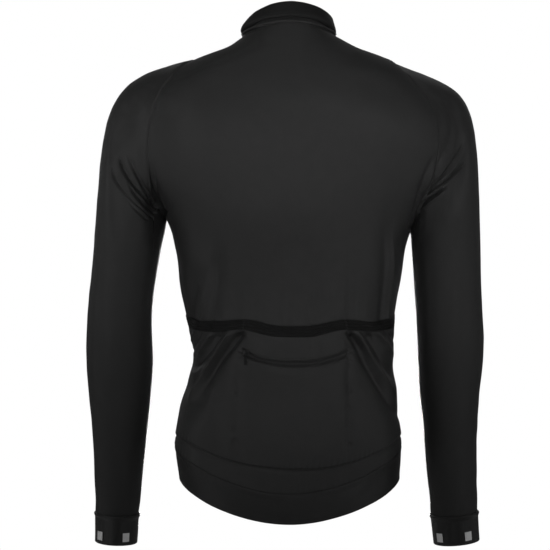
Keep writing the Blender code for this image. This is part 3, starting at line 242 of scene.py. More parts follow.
RIGHT_SLEEVE_FOLDS = (
    ("crease a",           464, 140, 452, 163, 427, 193,  1.4,  1.4,  -2.7, .35, .05, 1.1),
    ("crease a lip",       467, 143, 455, 167, 431, 193,  1.8,  2.0,   1.3, .50, .10, 1.5),
    ("crease b",           466, 161, 450, 178, 424, 196,  1.4,  1.6,  -3.7, .20, .00, 1.1),
    ("crease b lip",       464, 158, 448, 174, 427, 190,  1.8,  1.6,   1.3, .50, .10, 1.5),
    ("crease c",           449, 184, 438, 193, 422, 203,  1.5,  1.8,  -3.7, .45, .00, 1.1),
    ("crease c lip",       446, 190, 437, 197, 424, 207,  2.2,  2.0,   1.6, .50, .00, 1.6),
    ("armpit hollow",      424, 190, 419, 214, 418, 245,  8.0,  8.0, -2.6, .50, .70, 2.0),
    ("elbow soft a",       422, 352, 444, 362, 470, 366,  9.0,  9.0,  -.9, .50, .70, 2.0),
    ("elbow soft b",       424, 374, 444, 378, 462, 376,  8.0,  8.0,  -.6, .50, .70, 2.0),
    ("crease e",           444, 150, 440, 160, 435, 170,  3.0,  3.0,  -1.4, .50, .60, 1.8),
)
# Folds on the hidden front, as places on the front seen from the front: x to the right of the zip (the wearer's left)
# and z, in metres.
FRONT_FOLDS = (
    ("left chest drape",    .150, -.170,  .118, -.215,  .088, -.262, 12.0, 12.0,   3.2, .50, .70, 2.0),
    ("left armpit crease",  .158, -.198,  .132, -.228,  .108, -.250,  3.0,  3.6,  -3.2, .25, .70, 1.5),
    ("left armpit crease2", .150, -.222,  .134, -.250,  .122, -.286,  3.0,  3.6,  -2.5, .25, .70, 1.5),
    ("left waist fold",     .128, -.372,  .092, -.402,  .058, -.420,  5.0,  7.0,   4.0, .20, .80, 1.6),
    ("left waist trough",   .130, -.388,  .098, -.418,  .066, -.436,  7.0,  6.0,  -3.6, .20, .80, 1.8),
    ("left waist fold2",    .130, -.405,  .104, -.430,  .080, -.446,  4.0,  6.0,   2.5, .20, .80, 1.6),
    ("right chest drape",  -.154, -.176, -.122, -.222, -.092, -.268, 12.0, 12.0,   3.2, .50, .70, 2.0),
    ("right armpit crease",-.164, -.204, -.138, -.232, -.112, -.256,  3.6,  3.0,  -3.2, .25, .70, 1.5),
    ("right armpit crease2",-.156,-.232, -.140, -.258, -.128, -.292,  3.6,  3.0,  -2.3, .25, .70, 1.5),
    ("right waist fold",   -.134, -.362, -.096, -.396, -.060, -.410,  6.0,  5.0,   3.8, .20, .80, 1.6),
    ("right waist trough", -.136, -.378, -.104, -.410, -.070, -.428,  6.0,  7.0,  -3.4, .20, .80, 1.8),
    ("right waist fold2",  -.134, -.398, -.108, -.424, -.078, -.438,  6.0,  4.0,   2.3, .20, .80, 1.6),
    ("zip wave high",       .010, -.240,  .022, -.262,  .046, -.280,  6.0,  7.0,   2.2, .20, .80, 1.8),
    ("zip wave mid",       -.010, -.330, -.024, -.348, -.048, -.360,  7.0,  6.0,   2.2, .20, .80, 1.8),
    ("zip wave low",        .010, -.420,  .024, -.436,  .044, -.444,  6.0,  7.0,   2.0, .20, .80, 1.8),
)
FRONT_SLEEVE_FOLDS = (
    ("left bend a",         .190, -.205,  .214, -.236,  .250, -.248,  2.4,  2.8,  -2.9, .10, .60, 1.4),
    ("left bend b",         .192, -.224,  .216, -.262,  .246, -.280,  2.6,  3.0,  -2.7, .10, .60, 1.4),
    ("left elbow a",        .200, -.352,  .226, -.366,  .262, -.368,  5.0,  6.0,  -3.6, .15, .60, 1.7),
    ("left elbow b",        .198, -.374,  .222, -.390,  .254, -.396,  5.0,  6.0,  -4.0, .15, .60, 1.7),
    ("left elbow c",        .200, -.400,  .222, -.412,  .246, -.420,  5.0,  5.0,  -2.7, .15, .60, 1.7),
    ("right bend a",       -.190, -.212, -.214, -.242, -.248, -.254,  2.8,  2.4,  -2.9, .10, .60, 1.4),
    ("right bend b",       -.186, -.232, -.210, -.268, -.240, -.288,  3.0,  2.6,  -2.7, .10, .60, 1.4),
    ("right elbow a",      -.186, -.348, -.212, -.362, -.250, -.366,  6.0,  5.0,  -3.6, .15, .60, 1.7),
    ("right elbow b",      -.184, -.372, -.208, -.386, -.240, -.394,  6.0,  5.0,  -4.0, .15, .60, 1.7),
    ("right elbow c",      -.186, -.398, -.208, -.410, -.232, -.418,  5.0,  5.0,  -2.5, .15, .60, 1.7),
)


# ---------------------------------------------------------------- numbers
def at(values, t):
    """Catmull-Rom value through equally spaced rows, at an array of places."""
    v = np.asarray(values, float)
    n = len(v) - 1
    t = np.clip(np.asarray(t, float), 0, n)
    i = np.minimum(t.astype(int), n - 1)
    f = t - i
    p1, p2 = v[i], v[i + 1]
    p0 = np.where(i > 0, v[i - 1], 2 * p1 - p2)
    p3 = np.where(i + 2 <= n, v[np.minimum(i + 2, n)], 2 * p2 - p1)
    return .5 * (2 * p1 + (p2 - p0) * f + (2 * p0 - 5 * p1 + 4 * p2 - p3) * f * f + (3 * p1 - p0 - 3 * p2 + p3) * f ** 3)


def column(table, names, key):
    i = names.index(key)
    return [row[i] for row in table]


def curve_at(table, names, key, angle):
    """A column of a table whose first column is an angle, read smoothly at any angle in its range."""
    x = np.array(column(table, names, "angle"), float)
    y = np.array(column(table, names, key), float)
    angle = np.clip(np.asarray(angle, float), x[-1], x[0])
    slope = np.array([(y[min(k + 1, len(y) - 1)] - y[max(k - 1, 0)]) / (x[min(k + 1, len(y) - 1)] - x[max(k - 1, 0)])
                      for k in range(len(y))])
    i = np.clip(np.searchsorted(-x, -angle, side="right") - 1, 0, len(x) - 2)
    h = x[i + 1] - x[i]
    f = (angle - x[i]) / h
    return ((2 * f ** 3 - 3 * f * f + 1) * y[i] + (f ** 3 - 2 * f * f + f) * h * slope[i]
            + (3 * f * f - 2 * f ** 3) * y[i + 1] + (f ** 3 - f * f) * h * slope[i + 1])


def step(low, high, x):
    t = np.clip((x - low) / (high - low), 0, 1)
    return t * t * (3 - 2 * t)


def unit(v):
    return v / np.maximum(np.linalg.norm(v, axis=-1, keepdims=True), 1e-12)


def soft_noise(p, size, seed):
    """Smooth noise from -1 to 1 at points, its lumps about as large as size (a length for each axis)."""
    rng = np.random.default_rng(seed)
    grid = rng.uniform(-1, 1, (32, 32, 32))
    q = p / np.asarray(size, float) + 100.37
    i = np.floor(q).astype(int)
    f = q - i
    f = f * f * (3 - 2 * f)
    out = 0
    for dx in (0, 1):
        for dy in (0, 1):
            for dz in (0, 1):
                w = ((f[..., 0] if dx else 1 - f[..., 0]) * (f[..., 1] if dy else 1 - f[..., 1])
                     * (f[..., 2] if dz else 1 - f[..., 2]))
                out = out + w * grid[(i[..., 0] + dx) % 32, (i[..., 1] + dy) % 32, (i[..., 2] + dz) % 32]
    return out


def line_distance(points, x, y):
    """Distance from places to an open line of points, the share along it, and which side (+ on the left, seen running
    down the picture)."""
    best = np.full(x.shape, 1e9)
    along = np.zeros(x.shape)
    side = np.zeros(x.shape)
    n = len(points) - 1
    for k in range(n):
        ax, ay = points[k]
        bx, by = points[k + 1]
        dx, dy = bx - ax, by - ay
        t = np.clip(((x - ax) * dx + (y - ay) * dy) / (dx * dx + dy * dy), 0, 1)
        ex, ey = x - ax - t * dx, y - ay - t * dy
        d = ex * ex + ey * ey
        near = d < best
        best = np.where(near, d, best)
        along = np.where(near, (k + t) / n, along)
        side = np.where(near, dx * ey - dy * ex, side)
    return np.sqrt(best), along, side


def through(x0, y0, x1, y1, x2, y2, count=14):
    """Points of the smooth line through three places."""
    mx, my = 2 * x1 - (x0 + x2) / 2, 2 * y1 - (y0 + y2) / 2
    out = []
    for k in range(count + 1):
        t = k / count
        out.append(((1 - t) ** 2 * x0 + 2 * t * (1 - t) * mx + t * t * x2,
                    (1 - t) ** 2 * y0 + 2 * t * (1 - t) * my + t * t * y2))
    return out


def folds(table, x, y, mm):
    """Height of a table's folds at places, metres. mm is how many millimetres one unit of the places is."""
    total = np.zeros(x.shape)
    for row in table:
        name, x0, y0, x1, y1, x2, y2, left, right, height, top, foot, crisp = row
        reach = 3.2 * max(left, right) / mm
        near = ((x > min(x0, x1, x2) - reach) & (x < max(x0, x1, x2) + reach)
                & (y > min(y0, y1, y2) - reach) & (y < max(y0, y1, y2) + reach))
        if not near.any():
            continue
        d, t, side = line_distance(through(x0, y0, x1, y1, x2, y2), x[near], y[near])
        wide = np.where(side > 0, left, right) / mm
        shape = np.exp(-((d * d / wide ** 2 + .02) ** (crisp / 2) - .02 ** (crisp / 2)))
        if top:
            shape = shape * step(-.02, top, t)
        if foot:
            shape = shape * step(-.02, foot, 1 - t)
        total[near] += height * .001 * shape
    return total


# ---------------------------------------------------------------- surfaces
def ring_columns(table):
    return {key: column(table, RING_COLUMNS, key) for key in RING_COLUMNS[1:]}


BODY_RINGS, COLLAR_RINGS = ring_columns(RINGS), ring_columns(COLLAR)


def ring_point(rings, angle, level):
    """Points of a stack of rings at angles (0 centre back, 90 the wearer's left, 180 centre front)."""
    a = np.radians(angle)
    s, c = np.sin(a), np.cos(a)
    g = {key: at(values, level) for key, values in rings.items()}
    half = .5 * (g["left"] * (1 + s) + g["right"] * (1 - s))
    sq = np.where(c > 0, g["sq_back"], g["sq_front"])
    k = (np.abs(s) ** sq + np.abs(c) ** sq) ** (-1 / sq)
    depth, end_z = np.where(c > 0, g["back_y"], -np.asarray(g["front_y"])), np.where(c > 0, g["back_z"], g["front_z"])
    return np.stack([half * s * k, depth * c * k, g["side_z"] + (end_z - g["side_z"]) * c * c], -1)


def form_point(angle, level):
    """Points of the body's form, which goes on up the collar's rings above the neck level."""
    level = np.asarray(level, float)
    low = ring_point(BODY_RINGS, angle, np.minimum(level, NECK_LEVEL))
    high = ring_point(COLLAR_RINGS, angle, np.maximum(level - NECK_LEVEL, 0))
    return np.where((level > NECK_LEVEL)[..., None], high, low)


def form_normal(angle, level):
    across = form_point(angle + .5, level) - form_point(angle - .5, level)
    up = form_point(angle, level + .03) - form_point(angle, np.maximum(level - .03, 0))
    return unit(np.cross(up, across))


def neck_rise(angle):
    """How far above the neck level the body cloth is sewn to the neck tape, as a level of the collar's rings."""
    a = np.abs(angle)
    return .30 + .42 * step(20, 78, a) - .66 * step(100, 165, a)


def arc_table(point, angles, levels):
    """Lengths along the surface: round from the centre back, and up from the lowest ring."""
    a, t = np.meshgrid(angles, levels, indexing="ij")
    p = point(a, t)
    round_ = np.concatenate([np.zeros((1, len(levels))), np.cumsum(np.linalg.norm(np.diff(p, axis=0), axis=-1), 0)])
    round_ = round_ - round_[len(angles) // 2]
    up = np.concatenate([np.zeros((len(angles), 1)), np.cumsum(np.linalg.norm(np.diff(p, axis=1), axis=-1), 1)], 1)
    return angles, levels, round_, up


def arc_uv(table, angle, level):
    angles, levels, round_, up = table
    u = np.clip((angle - angles[0]) / (angles[1] - angles[0]), 0, len(angles) - 1.001)
    v = np.clip((level - levels[0]) / (levels[1] - levels[0]), 0, len(levels) - 1.001)
    i, j = u.astype(int), v.astype(int)
    f, g = u - i, v - j
    return np.stack([(1 - f) * (1 - g) * m[i, j] + f * (1 - g) * m[i + 1, j] + (1 - f) * g * m[i, j + 1]
                     + f * g * m[i + 1, j + 1] for m in (round_, up)], -1)


BODY_ARC = arc_table(form_point, np.linspace(-180, 180, 361), np.linspace(0, 18, 181))


def side_name(side):
    return "left" if side > 0 else "right"


def hole_line(side):
    """The armhole as a function: how far round it (0 the underarm, ARM_ROWS the shoulder, then down the front) to the
    angle and level on the body."""
    angles = np.array(column(ARMHOLE, ARMHOLE_COLUMNS, side_name(side) + "_angle"))
    levels = np.array(column(ARMHOLE, ARMHOLE_COLUMNS, side_name(side) + "_level"))
    n = len(angles)
    shoulder = [row[0] for row in ARMHOLE].index("shoulder seam")

    def cubic(v, t):
        i = np.floor(t).astype(int)
        f = t - i
        p0, p1, p2, p3 = v[(i - 1) % n], v[i % n], v[(i + 1) % n], v[(i + 2) % n]
        return .5 * (2 * p1 + (p2 - p0) * f + (2 * p0 - 5 * p1 + 4 * p2 - p3) * f * f + (3 * p1 - p0 - 3 * p2 + p3) * f ** 3)

    t_all, s_all = [], []
    for k, (start, end) in enumerate(((0, shoulder), (shoulder, n))):
        t = np.linspace(start, end, 801)
        p = ring_point(BODY_RINGS, side * cubic(angles, t), cubic(levels, t))
        s = np.concatenate([[0], np.cumsum(np.linalg.norm(np.diff(p, axis=0), axis=-1))])
        t_all.append(t)
        s_all.append(ARM_ROWS * (k + s / s[-1]))
    t_all, s_all = np.concatenate(t_all), np.concatenate(s_all)

    def line(s):
        t = np.interp(np.asarray(s, float) % (2 * ARM_ROWS), s_all, t_all)
        return side * cubic(angles, t), cubic(levels, t)
    return line


HOLE = {side: hole_line(side) for side in (1, -1)}


# ---------------------------------------------------------------- the body's pieces as networks of angles and levels
def cell_lines(cells, per, tight=()):
    """Places of the fine lines over a run of coarse cells: so many to a cell, with extra ones close beside the places
    in tight, where a seam's valley needs them."""
    out = set(np.round(np.linspace(0, cells, cells * per + 1), 6))
    for place, way in tight:
        for d in (.008, .022, .045, .08):
            out.add(round(place + way * d, 6))
    return np.array(sorted(out))


def low_level(angle, w):
    """Level at a place from 0 (hem seam) to 8 (pocket mouth) up a side seam or the back."""
    foot, lower, upper = (curve_at(MOUTH, MOUTH_COLUMNS, key, angle) for key in ("foot", "bottom", "top"))
    w = np.asarray(w, float)
    return np.where(w < 1, HEM_LEVEL + (foot - HEM_LEVEL) * w,
                    np.where(w < 7, foot + (lower - foot) * (w - 1) / 6, lower + (upper - lower) * (w - 7)))


def side_edge(side, w):
    """The side seam's angle and level at rows 0 to SIDE_ROWS."""
    top = HOLE[side](0.0)[1]
    w = np.asarray(w, float)
    mouth = low_level(side * SIDE_SEAM, 8.0)
    level = np.where(w < 8, low_level(side * SIDE_SEAM, np.minimum(w, 8)), mouth + (top - mouth) * (w - 8) / (SIDE_ROWS - 8))
    return np.full(w.shape, side * SIDE_SEAM), level


def zip_angle(side, level, half=ZIP_HALF):
    """Angle of a front's edge at the zip."""
    width = np.abs(form_point(np.full(np.shape(level), 179.0), level)[..., 0])
    return side * (180 - half / width)


def network(columns, ends, u, w, edge):
    """Angles and levels at the fine lines u and w of a body piece. ends says which sides have an armhole notch. edge
    gives the angle and level anywhere on the outline."""
    top = SIDE_ROWS + ARM_ROWS - ARM_NOTCH
    left, right = ends

    def inside(c, r):
        return (r <= SIDE_ROWS + 1e-6) | ((c >= (ARM_NOTCH if left else 0) - 1e-6)
                                          & (c <= columns - (ARM_NOTCH if right else 0) + 1e-6))

    def on_edge(c, r):
        low = r <= SIDE_ROWS + 1e-6
        e = (r < 1e-6) | (r > top - 1e-6) | (low & ((c < 1e-6) | (c > columns - 1e-6)))
        if left:
            e = e | ((r > SIDE_ROWS - 1e-6) & (c < ARM_NOTCH + 1e-6))
        else:
            e = e | (c < 1e-6)
        if right:
            e = e | ((r > SIDE_ROWS - 1e-6) & (c > columns - ARM_NOTCH - 1e-6))
        else:
            e = e | (c > columns - 1e-6)
        return e

    # coarse solution
    cc, rr = np.meshgrid(np.arange(columns + 1.0), np.arange(top + 1.0), indexing="ij")
    ok, fixed = inside(cc, rr), on_edge(cc, rr)
    fixed &= ok
    A, T = np.zeros(cc.shape), np.zeros(cc.shape)
    A[fixed], T[fixed] = edge(cc[fixed], rr[fixed])
    foot = edge(cc[:, :1], rr[:, :1])[0]
    free = ok & ~fixed
    A[free], T[free] = np.broadcast_to(foot, cc.shape)[free], (1 + 14 * rr / top)[free]

    def around(M):
        total, count = np.zeros(M.shape), np.zeros(cc.shape)
        for ax, d in ((0, 1), (0, -1), (1, 1), (1, -1)):
            good = np.roll(ok, d, ax).copy()
            cut = [slice(None), slice(None)]
            cut[ax] = 0 if d > 0 else -1
            good[tuple(cut)] = False
            inner = good[..., None] if M.ndim == 3 else good
            total = total + np.where(inner, np.roll(M, d, ax), 0)
            count = count + good
        return total / (np.maximum(count, 1)[..., None] if M.ndim == 3 else np.maximum(count, 1))

    for _ in range(700):
        A, T = np.where(free, around(A), A), np.where(free, around(T), T)
    for _ in range(140):
        P = form_point(A, T)
        want = around(P) - P
        across = form_point(A + .5, T) - P
        up = form_point(A, T + .02) - P
        aa, bb, ab = (across * across).sum(-1), (up * up).sum(-1), (across * up).sum(-1)
        da, db = (want * across).sum(-1), (want * up).sum(-1)
        det = np.maximum(aa * bb - ab * ab, 1e-16)
        A = np.where(free, A + .8 * .5 * (da * bb - db * ab) / det, A)
        T = np.where(free, T + .8 * .02 * (db * aa - da * ab) / det, T)

    # fine lines between the coarse ones, pulled onto the true outline
    U, W = np.meshgrid(u, w, indexing="ij")
    good = inside(U, W)
    i, j = np.minimum(U.astype(int), columns - 1), np.minimum(W.astype(int), top - 1)
    if left:      # a fine line on the notch belongs to the cells beside it
        i = np.where((W > SIDE_ROWS) & (i < ARM_NOTCH), ARM_NOTCH, i)
    if right:
        i = np.where((W > SIDE_ROWS) & (i > columns - ARM_NOTCH - 1), columns - ARM_NOTCH - 1, i)
    j = np.where((np.abs(W - SIDE_ROWS) < 1e-6) & ~(inside(i, j + 1.0) & inside(i + 1.0, j + 1.0)), SIDE_ROWS - 1, j)
    f, g = U - i, W - j

    def mix(M):
        return ((1 - f) * (1 - g) * M[i, j] + f * (1 - g) * M[i + 1, j] + (1 - f) * g * M[i, j + 1] + f * g * M[i + 1, j + 1])
    FA, FT = mix(A), mix(T)

    def pull(c, r, weight):
        """Move lines by how far the coarse outline is from the true one at the outline's place (c, r)."""
        ta, tt = edge(c, r)
        ii, jj = np.clip(np.round(c).astype(int), 0, columns), np.clip(np.round(r).astype(int), 0, top)
        c0, r0 = np.floor(c + 1e-9).astype(int), np.floor(r + 1e-9).astype(int)
        c1, r1 = np.minimum(c0 + 1, columns), np.minimum(r0 + 1, top)
        fc, fr = c - c0, r - r0
        along_c = np.abs(fc) > 1e-6
        la = np.where(along_c, (1 - fc) * A[c0, np.minimum(jj, top)] + fc * A[c1, jj], (1 - fr) * A[ii, r0] + fr * A[ii, r1])
        lt = np.where(along_c, (1 - fc) * T[c0, jj] + fc * T[c1, jj], (1 - fr) * T[ii, r0] + fr * T[ii, r1])
        return (ta - la) * weight, (tt - lt) * weight

    dA, dT = np.zeros(U.shape), np.zeros(U.shape)
    fade = 2.0
    spans = [(0.0, 0.0, float(SIDE_ROWS)), (float(columns), 0.0, float(SIDE_ROWS))]
    if left:
        spans.append((float(ARM_NOTCH), float(SIDE_ROWS), float(top)))
    else:
        spans[0] = (0.0, 0.0, float(top))
    if right:
        spans.append((float(columns - ARM_NOTCH), float(SIDE_ROWS), float(top)))
    else:
        spans[1] = (float(columns), 0.0, float(top))
    for c, r0, r1 in spans:
        inrow = (W >= r0 - 1e-6) & (W <= r1 + 1e-6)
        weight = np.where(inrow, np.clip(1 - np.abs(U - c) / fade, 0, 1), 0)
        a, t = pull(np.full(U.shape, c), np.clip(W, r0, r1), weight)
        dA, dT = dA + a, dT + t
    rows = [(float(top), float(ARM_NOTCH) if left else 0.0, float(columns - (ARM_NOTCH if right else 0)))]
    if left:
        rows.append((float(SIDE_ROWS), 0.0, float(ARM_NOTCH)))
    if right:
        rows.append((float(SIDE_ROWS), float(columns - ARM_NOTCH), float(columns)))
    for r, c0, c1 in rows:
        incol = (U >= c0 - 1e-6) & (U <= c1 + 1e-6)
        weight = np.where(incol, np.clip(1 - np.abs(W - r) / fade, 0, 1), 0)
        if r == SIDE_ROWS:
            weight = np.where(W <= r + 1e-6, weight, 0)
        a, t = pull(np.clip(U, c0, c1), np.full(U.shape, r), weight)
        corner = on_edge(U, W) & (np.abs(U - np.round(U)) < 1e-6) & (np.abs(W - r) > 1e-6)
        dA, dT = dA + np.where(corner, 0, a), dT + np.where(corner, 0, t)
    FA, FT = FA + dA, FT + dT
    on = on_edge(U, W) & good
    FA[on], FT[on] = edge(U[on], W[on])
    quads = good[:-1, :-1] & good[1:, :-1] & good[:-1, 1:] & good[1:, 1:]
    middle_c, middle_r = (u[:-1] + u[1:])[:, None] / 2, (w[:-1] + w[1:])[None, :] / 2
    quads &= inside(middle_c, middle_r)
    return U, W, FA, FT, good, quads


BACK_COLUMNS = 2 * (ARM_NOTCH + TOP_COLUMNS) + NECK_BACK_COLUMNS
FRONT_COLUMNS = ARM_NOTCH + TOP_COLUMNS + NECK_FRONT_COLUMNS
TOP_ROW = SIDE_ROWS + ARM_ROWS - ARM_NOTCH


def back_edge(c, r):
    c, r = np.asarray(c, float), np.asarray(r, float)
    side = np.where(c < BACK_COLUMNS / 2, 1, -1)
    k = np.where(side > 0, c, BACK_COLUMNS - c)
    A, T = np.zeros(c.shape), np.zeros(c.shape)
    for s in (1, -1):
        m = side == s
        kk, rr = k[m], r[m]
        sa, st = side_edge(s, np.minimum(rr, SIDE_ROWS))
        on_hole = (rr > SIDE_ROWS - 1e-6) & (kk < ARM_NOTCH + 1e-6)
        ha, ht = HOLE[s](np.where(rr > SIDE_ROWS + 1e-6, ARM_NOTCH + rr - SIDE_ROWS, kk))
        a, t = np.where(on_hole, ha, sa), np.where(on_hole, ht, st)
        top = rr > TOP_ROW - 1e-6
        f = np.clip((kk - ARM_NOTCH) / TOP_COLUMNS, 0, 1)
        tip = HOLE[s](float(ARM_ROWS))[1]
        neck = kk > ARM_NOTCH + TOP_COLUMNS
        half = NECK_BACK_COLUMNS / 2
        across = s * SHOULDER_SEAM * (1 - np.clip((kk - ARM_NOTCH - TOP_COLUMNS) / half, 0, 1))
        across = np.where(neck, across, s * SHOULDER_SEAM)
        a = np.where(top & (kk > ARM_NOTCH - 1e-6), across, a)
        t = np.where(top & (kk > ARM_NOTCH - 1e-6), tip + (NECK_LEVEL + neck_rise(across) - tip) * f, t)
        foot = rr < 1e-6
        a = np.where(foot, s * SIDE_SEAM * (1 - 2 * kk / BACK_COLUMNS), a)
        t = np.where(foot, HEM_LEVEL, t)
        A[m], T[m] = a, t
    return A, T


def front_edge(side):
    def edge(c, r):
        c, r = np.asarray(c, float), np.asarray(r, float)
        sa, st = side_edge(side, np.minimum(r, SIDE_ROWS))
        ha, ht = HOLE[side](2 * ARM_ROWS - np.where(r > SIDE_ROWS + 1e-6, ARM_NOTCH + r - SIDE_ROWS, c))
        on_hole = (r > SIDE_ROWS - 1e-6) & (c < ARM_NOTCH + 1e-6)
        a, t = np.where(on_hole, ha, sa), np.where(on_hole, ht, st)
        tip = HOLE[side](float(ARM_ROWS))[1]
        f = np.clip((c - ARM_NOTCH) / TOP_COLUMNS, 0, 1)
        first = ARM_NOTCH + TOP_COLUMNS
        top = (r > TOP_ROW - 1e-6) & (c > ARM_NOTCH - 1e-6)
        end = zip_angle(side, np.full(c.shape, NECK_LEVEL))
        across = side * SHOULDER_SEAM + (end - side * SHOULDER_SEAM) * np.clip((c - first) / NECK_FRONT_COLUMNS, 0, 1)
        a, t = np.where(top, across, a), np.where(top, tip + (NECK_LEVEL + neck_rise(across) - tip) * f, t)
        zipped = c > FRONT_COLUMNS - 1e-6
        lv = CENTRE_LEVEL(r)
        a, t = np.where(zipped, zip_angle(side, lv), a), np.where(zipped, lv, t)
        foot = r < 1e-6
        end = zip_angle(side, np.full(c.shape, HEM_LEVEL))
        a = np.where(foot, side * SIDE_SEAM + (end - side * SIDE_SEAM) * c / FRONT_COLUMNS, a)
        t = np.where(foot, HEM_LEVEL, t)
        return a, t
    return edge


def centre_level():
    t = np.linspace(HEM_LEVEL, NECK_LEVEL, 401)
    p = form_point(np.full(t.shape, 180.0), t)
    s = np.concatenate([[0], np.cumsum(np.linalg.norm(np.diff(p, axis=0), axis=-1))])
    return lambda r: np.interp(np.asarray(r, float) / TOP_ROW * s[-1], s, t)


CENTRE_LEVEL = centre_level()


# ---------------------------------------------------------------- how far the cloth stands off its plain form
def back_side(p, low=-.045, high=-.005):
    return step(low, high, p[..., 1])


MM = SCALE * 1000      # millimetres a picture element covers


def body_height(p):
    """The body cloth's folds and soft unevenness at points of its plain form."""
    x, y = sight(p)
    back = back_side(p)
    h = folds(BACK_FOLDS, x, y, MM) * back
    fx, fz = p[..., 0], p[..., 2]
    h = h + front_folds(FRONT_FOLDS, fx, fz) * (1 - step(-.055, -.02, p[..., 1]))
    h = h + .0022 * soft_noise(p, (.060, .08, .066), 9) + .0011 * soft_noise(p, (.030, .045, .034), 3) + .00022 * soft_noise(p, (.013, .02, .017), 4)
    streak = step(-.19, -.33, p[..., 2]) * step(-.378, -.355, p[..., 2])
    h = h + .0006 * streak * soft_noise(p, (.011, .02, .075), 5)
    return h


def front_folds(table, x, z):
    """Front folds: their left and right are as the wearer's front is seen, which runs the other way from x."""
    flipped = tuple((r[0], r[1], -r[2], r[3], -r[4], r[5], -r[6], r[7], r[8], r[9], r[10], r[11], r[12]) for r in table)
    return folds(flipped, x, -z, 1000.0)


def pocket_share(angle, level):
    """0 at the pocket's foot, 1 at the lower edge of its elastic."""
    foot, lower = (curve_at(MOUTH, MOUTH_COLUMNS, key, angle) for key in ("foot", "bottom"))
    return (level - foot) / (lower - foot)


def split_seams(x, y, wide):
    """Depth share of the pockets' dividing seams at places."""
    total = np.zeros(x.shape)
    for sx, top, foot in SPLITS:
        inside = step(top - 3, top + 3, y) * (1 - step(foot - 1, foot + 2, y))
        total = np.maximum(total, np.exp(-((x - sx) / wide) ** 2) * inside)
    return total


def pocket_height(p, angle, level):
    """The pocket cloth's own folds, which its back cloth has to leave room for."""
    x, y = sight(p)
    f = np.clip(pocket_share(angle, level), 0, 1.2)
    ends = np.minimum(1, 7 * f) * back_side(p)
    h = folds(POCKET_FOLDS, x, y, MM) * ends
    side = step(45, 75, np.abs(angle))
    gather = step(.55, 1.0, f)
    h = h + .0012 * gather * (.10 + .90 * side) * soft_noise(p * np.array([1, .6, .22]), (.0052, .02, .02), 8) * back_side(p)
    h = h + .0011 * soft_noise(p, (.026, .05, .030), 6) * np.minimum(1, 3 * f)
    h = h + .0004 * soft_noise(p, (.011, .02, .013), 7) * np.minimum(1, 3 * f)
    uneven = np.clip(np.sin(y / 9.3 + 2.1 * np.sin(y / 17)) * np.sin(y / 31 + .8), 0, 1)
    sewn = .0006 * split_seams(x, y, 5.0) * np.sin(y / 6.1 * 2 * pi + 2.6 * np.sin(y / 13)) * uneven
    sewn = sewn - .0006 * split_seams(x, y, .8) - .0007 * split_seams(x, y, 4.0)
    return h + sewn * ends


def seam_valley(d, wide=SEAM_WIDE, deep=SEAM_DEEP):
    """How far the cloth turns in at a seam, d away from it."""
    return -deep * np.exp(-(np.maximum(d, 0) / wide) ** 1.4)


def pucker(d, along, reach=.010, height=.00028, pitch=.0078):
    """Small waves that the stitching draws into the cloth beside a seam."""
    wave = np.sin(along / pitch * 2 * pi + 1.7 * np.sin(along / .031)) * (.6 + .4 * np.sin(along / .047 + 1))
    return height * wave * np.exp(-(d / reach) ** 2) * (1 - np.exp(-(d / .0012) ** 2))


# ---------------------------------------------------------------- meshes
def place(name, mesh, finish, nodes=(), slot=None, body="jacket"):
    obj = bpy.data.objects.new(name, mesh)
    bpy.context.scene.collection.objects.link(obj)
    mesh.materials.append(finish)
    mesh.shade_smooth()
    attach(obj, body)
    if nodes:
        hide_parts(*nodes)
    return obj


def mesh_from(name, points, faces, uv=None):
    """A mesh from an array of points and an array of faces with four corners (the last repeated for three)."""
    points, faces = np.asarray(points, float), np.asarray(faces, int)
    four = faces[:, 2] != faces[:, 3]
    counts = np.where(four, 4, 3)
    flat = np.concatenate([f[:c] for f, c in zip(faces, counts)]) if not four.all() else faces.ravel()
    mesh = bpy.data.meshes.new(name)
    mesh.vertices.add(len(points))
    mesh.vertices.foreach_set("co", points.astype(np.float32).ravel())
    mesh.loops.add(len(flat))
    mesh.loops.foreach_set("vertex_index", flat.astype(np.int32))
    mesh.polygons.add(len(faces))
    mesh.polygons.foreach_set("loop_start", np.concatenate([[0], np.cumsum(counts)[:-1]]).astype(np.int32))
    mesh.update(calc_edges=True)
    if uv is not None:
        layer = mesh.uv_layers.new(name="cloth")
        layer.data.foreach_set("uv", np.asarray(uv)[flat].astype(np.float32).ravel())
    mesh.validate()
    return mesh


def grid_faces(quads, index, flip):
    """Faces of the marked cells of a grid whose corners have these indices."""
    a, b, c, d = index[:-1, :-1][quads], index[1:, :-1][quads], index[1:, 1:][quads], index[:-1, 1:][quads]
    return np.stack([a, d, c, b] if flip else [a, b, c, d], -1)


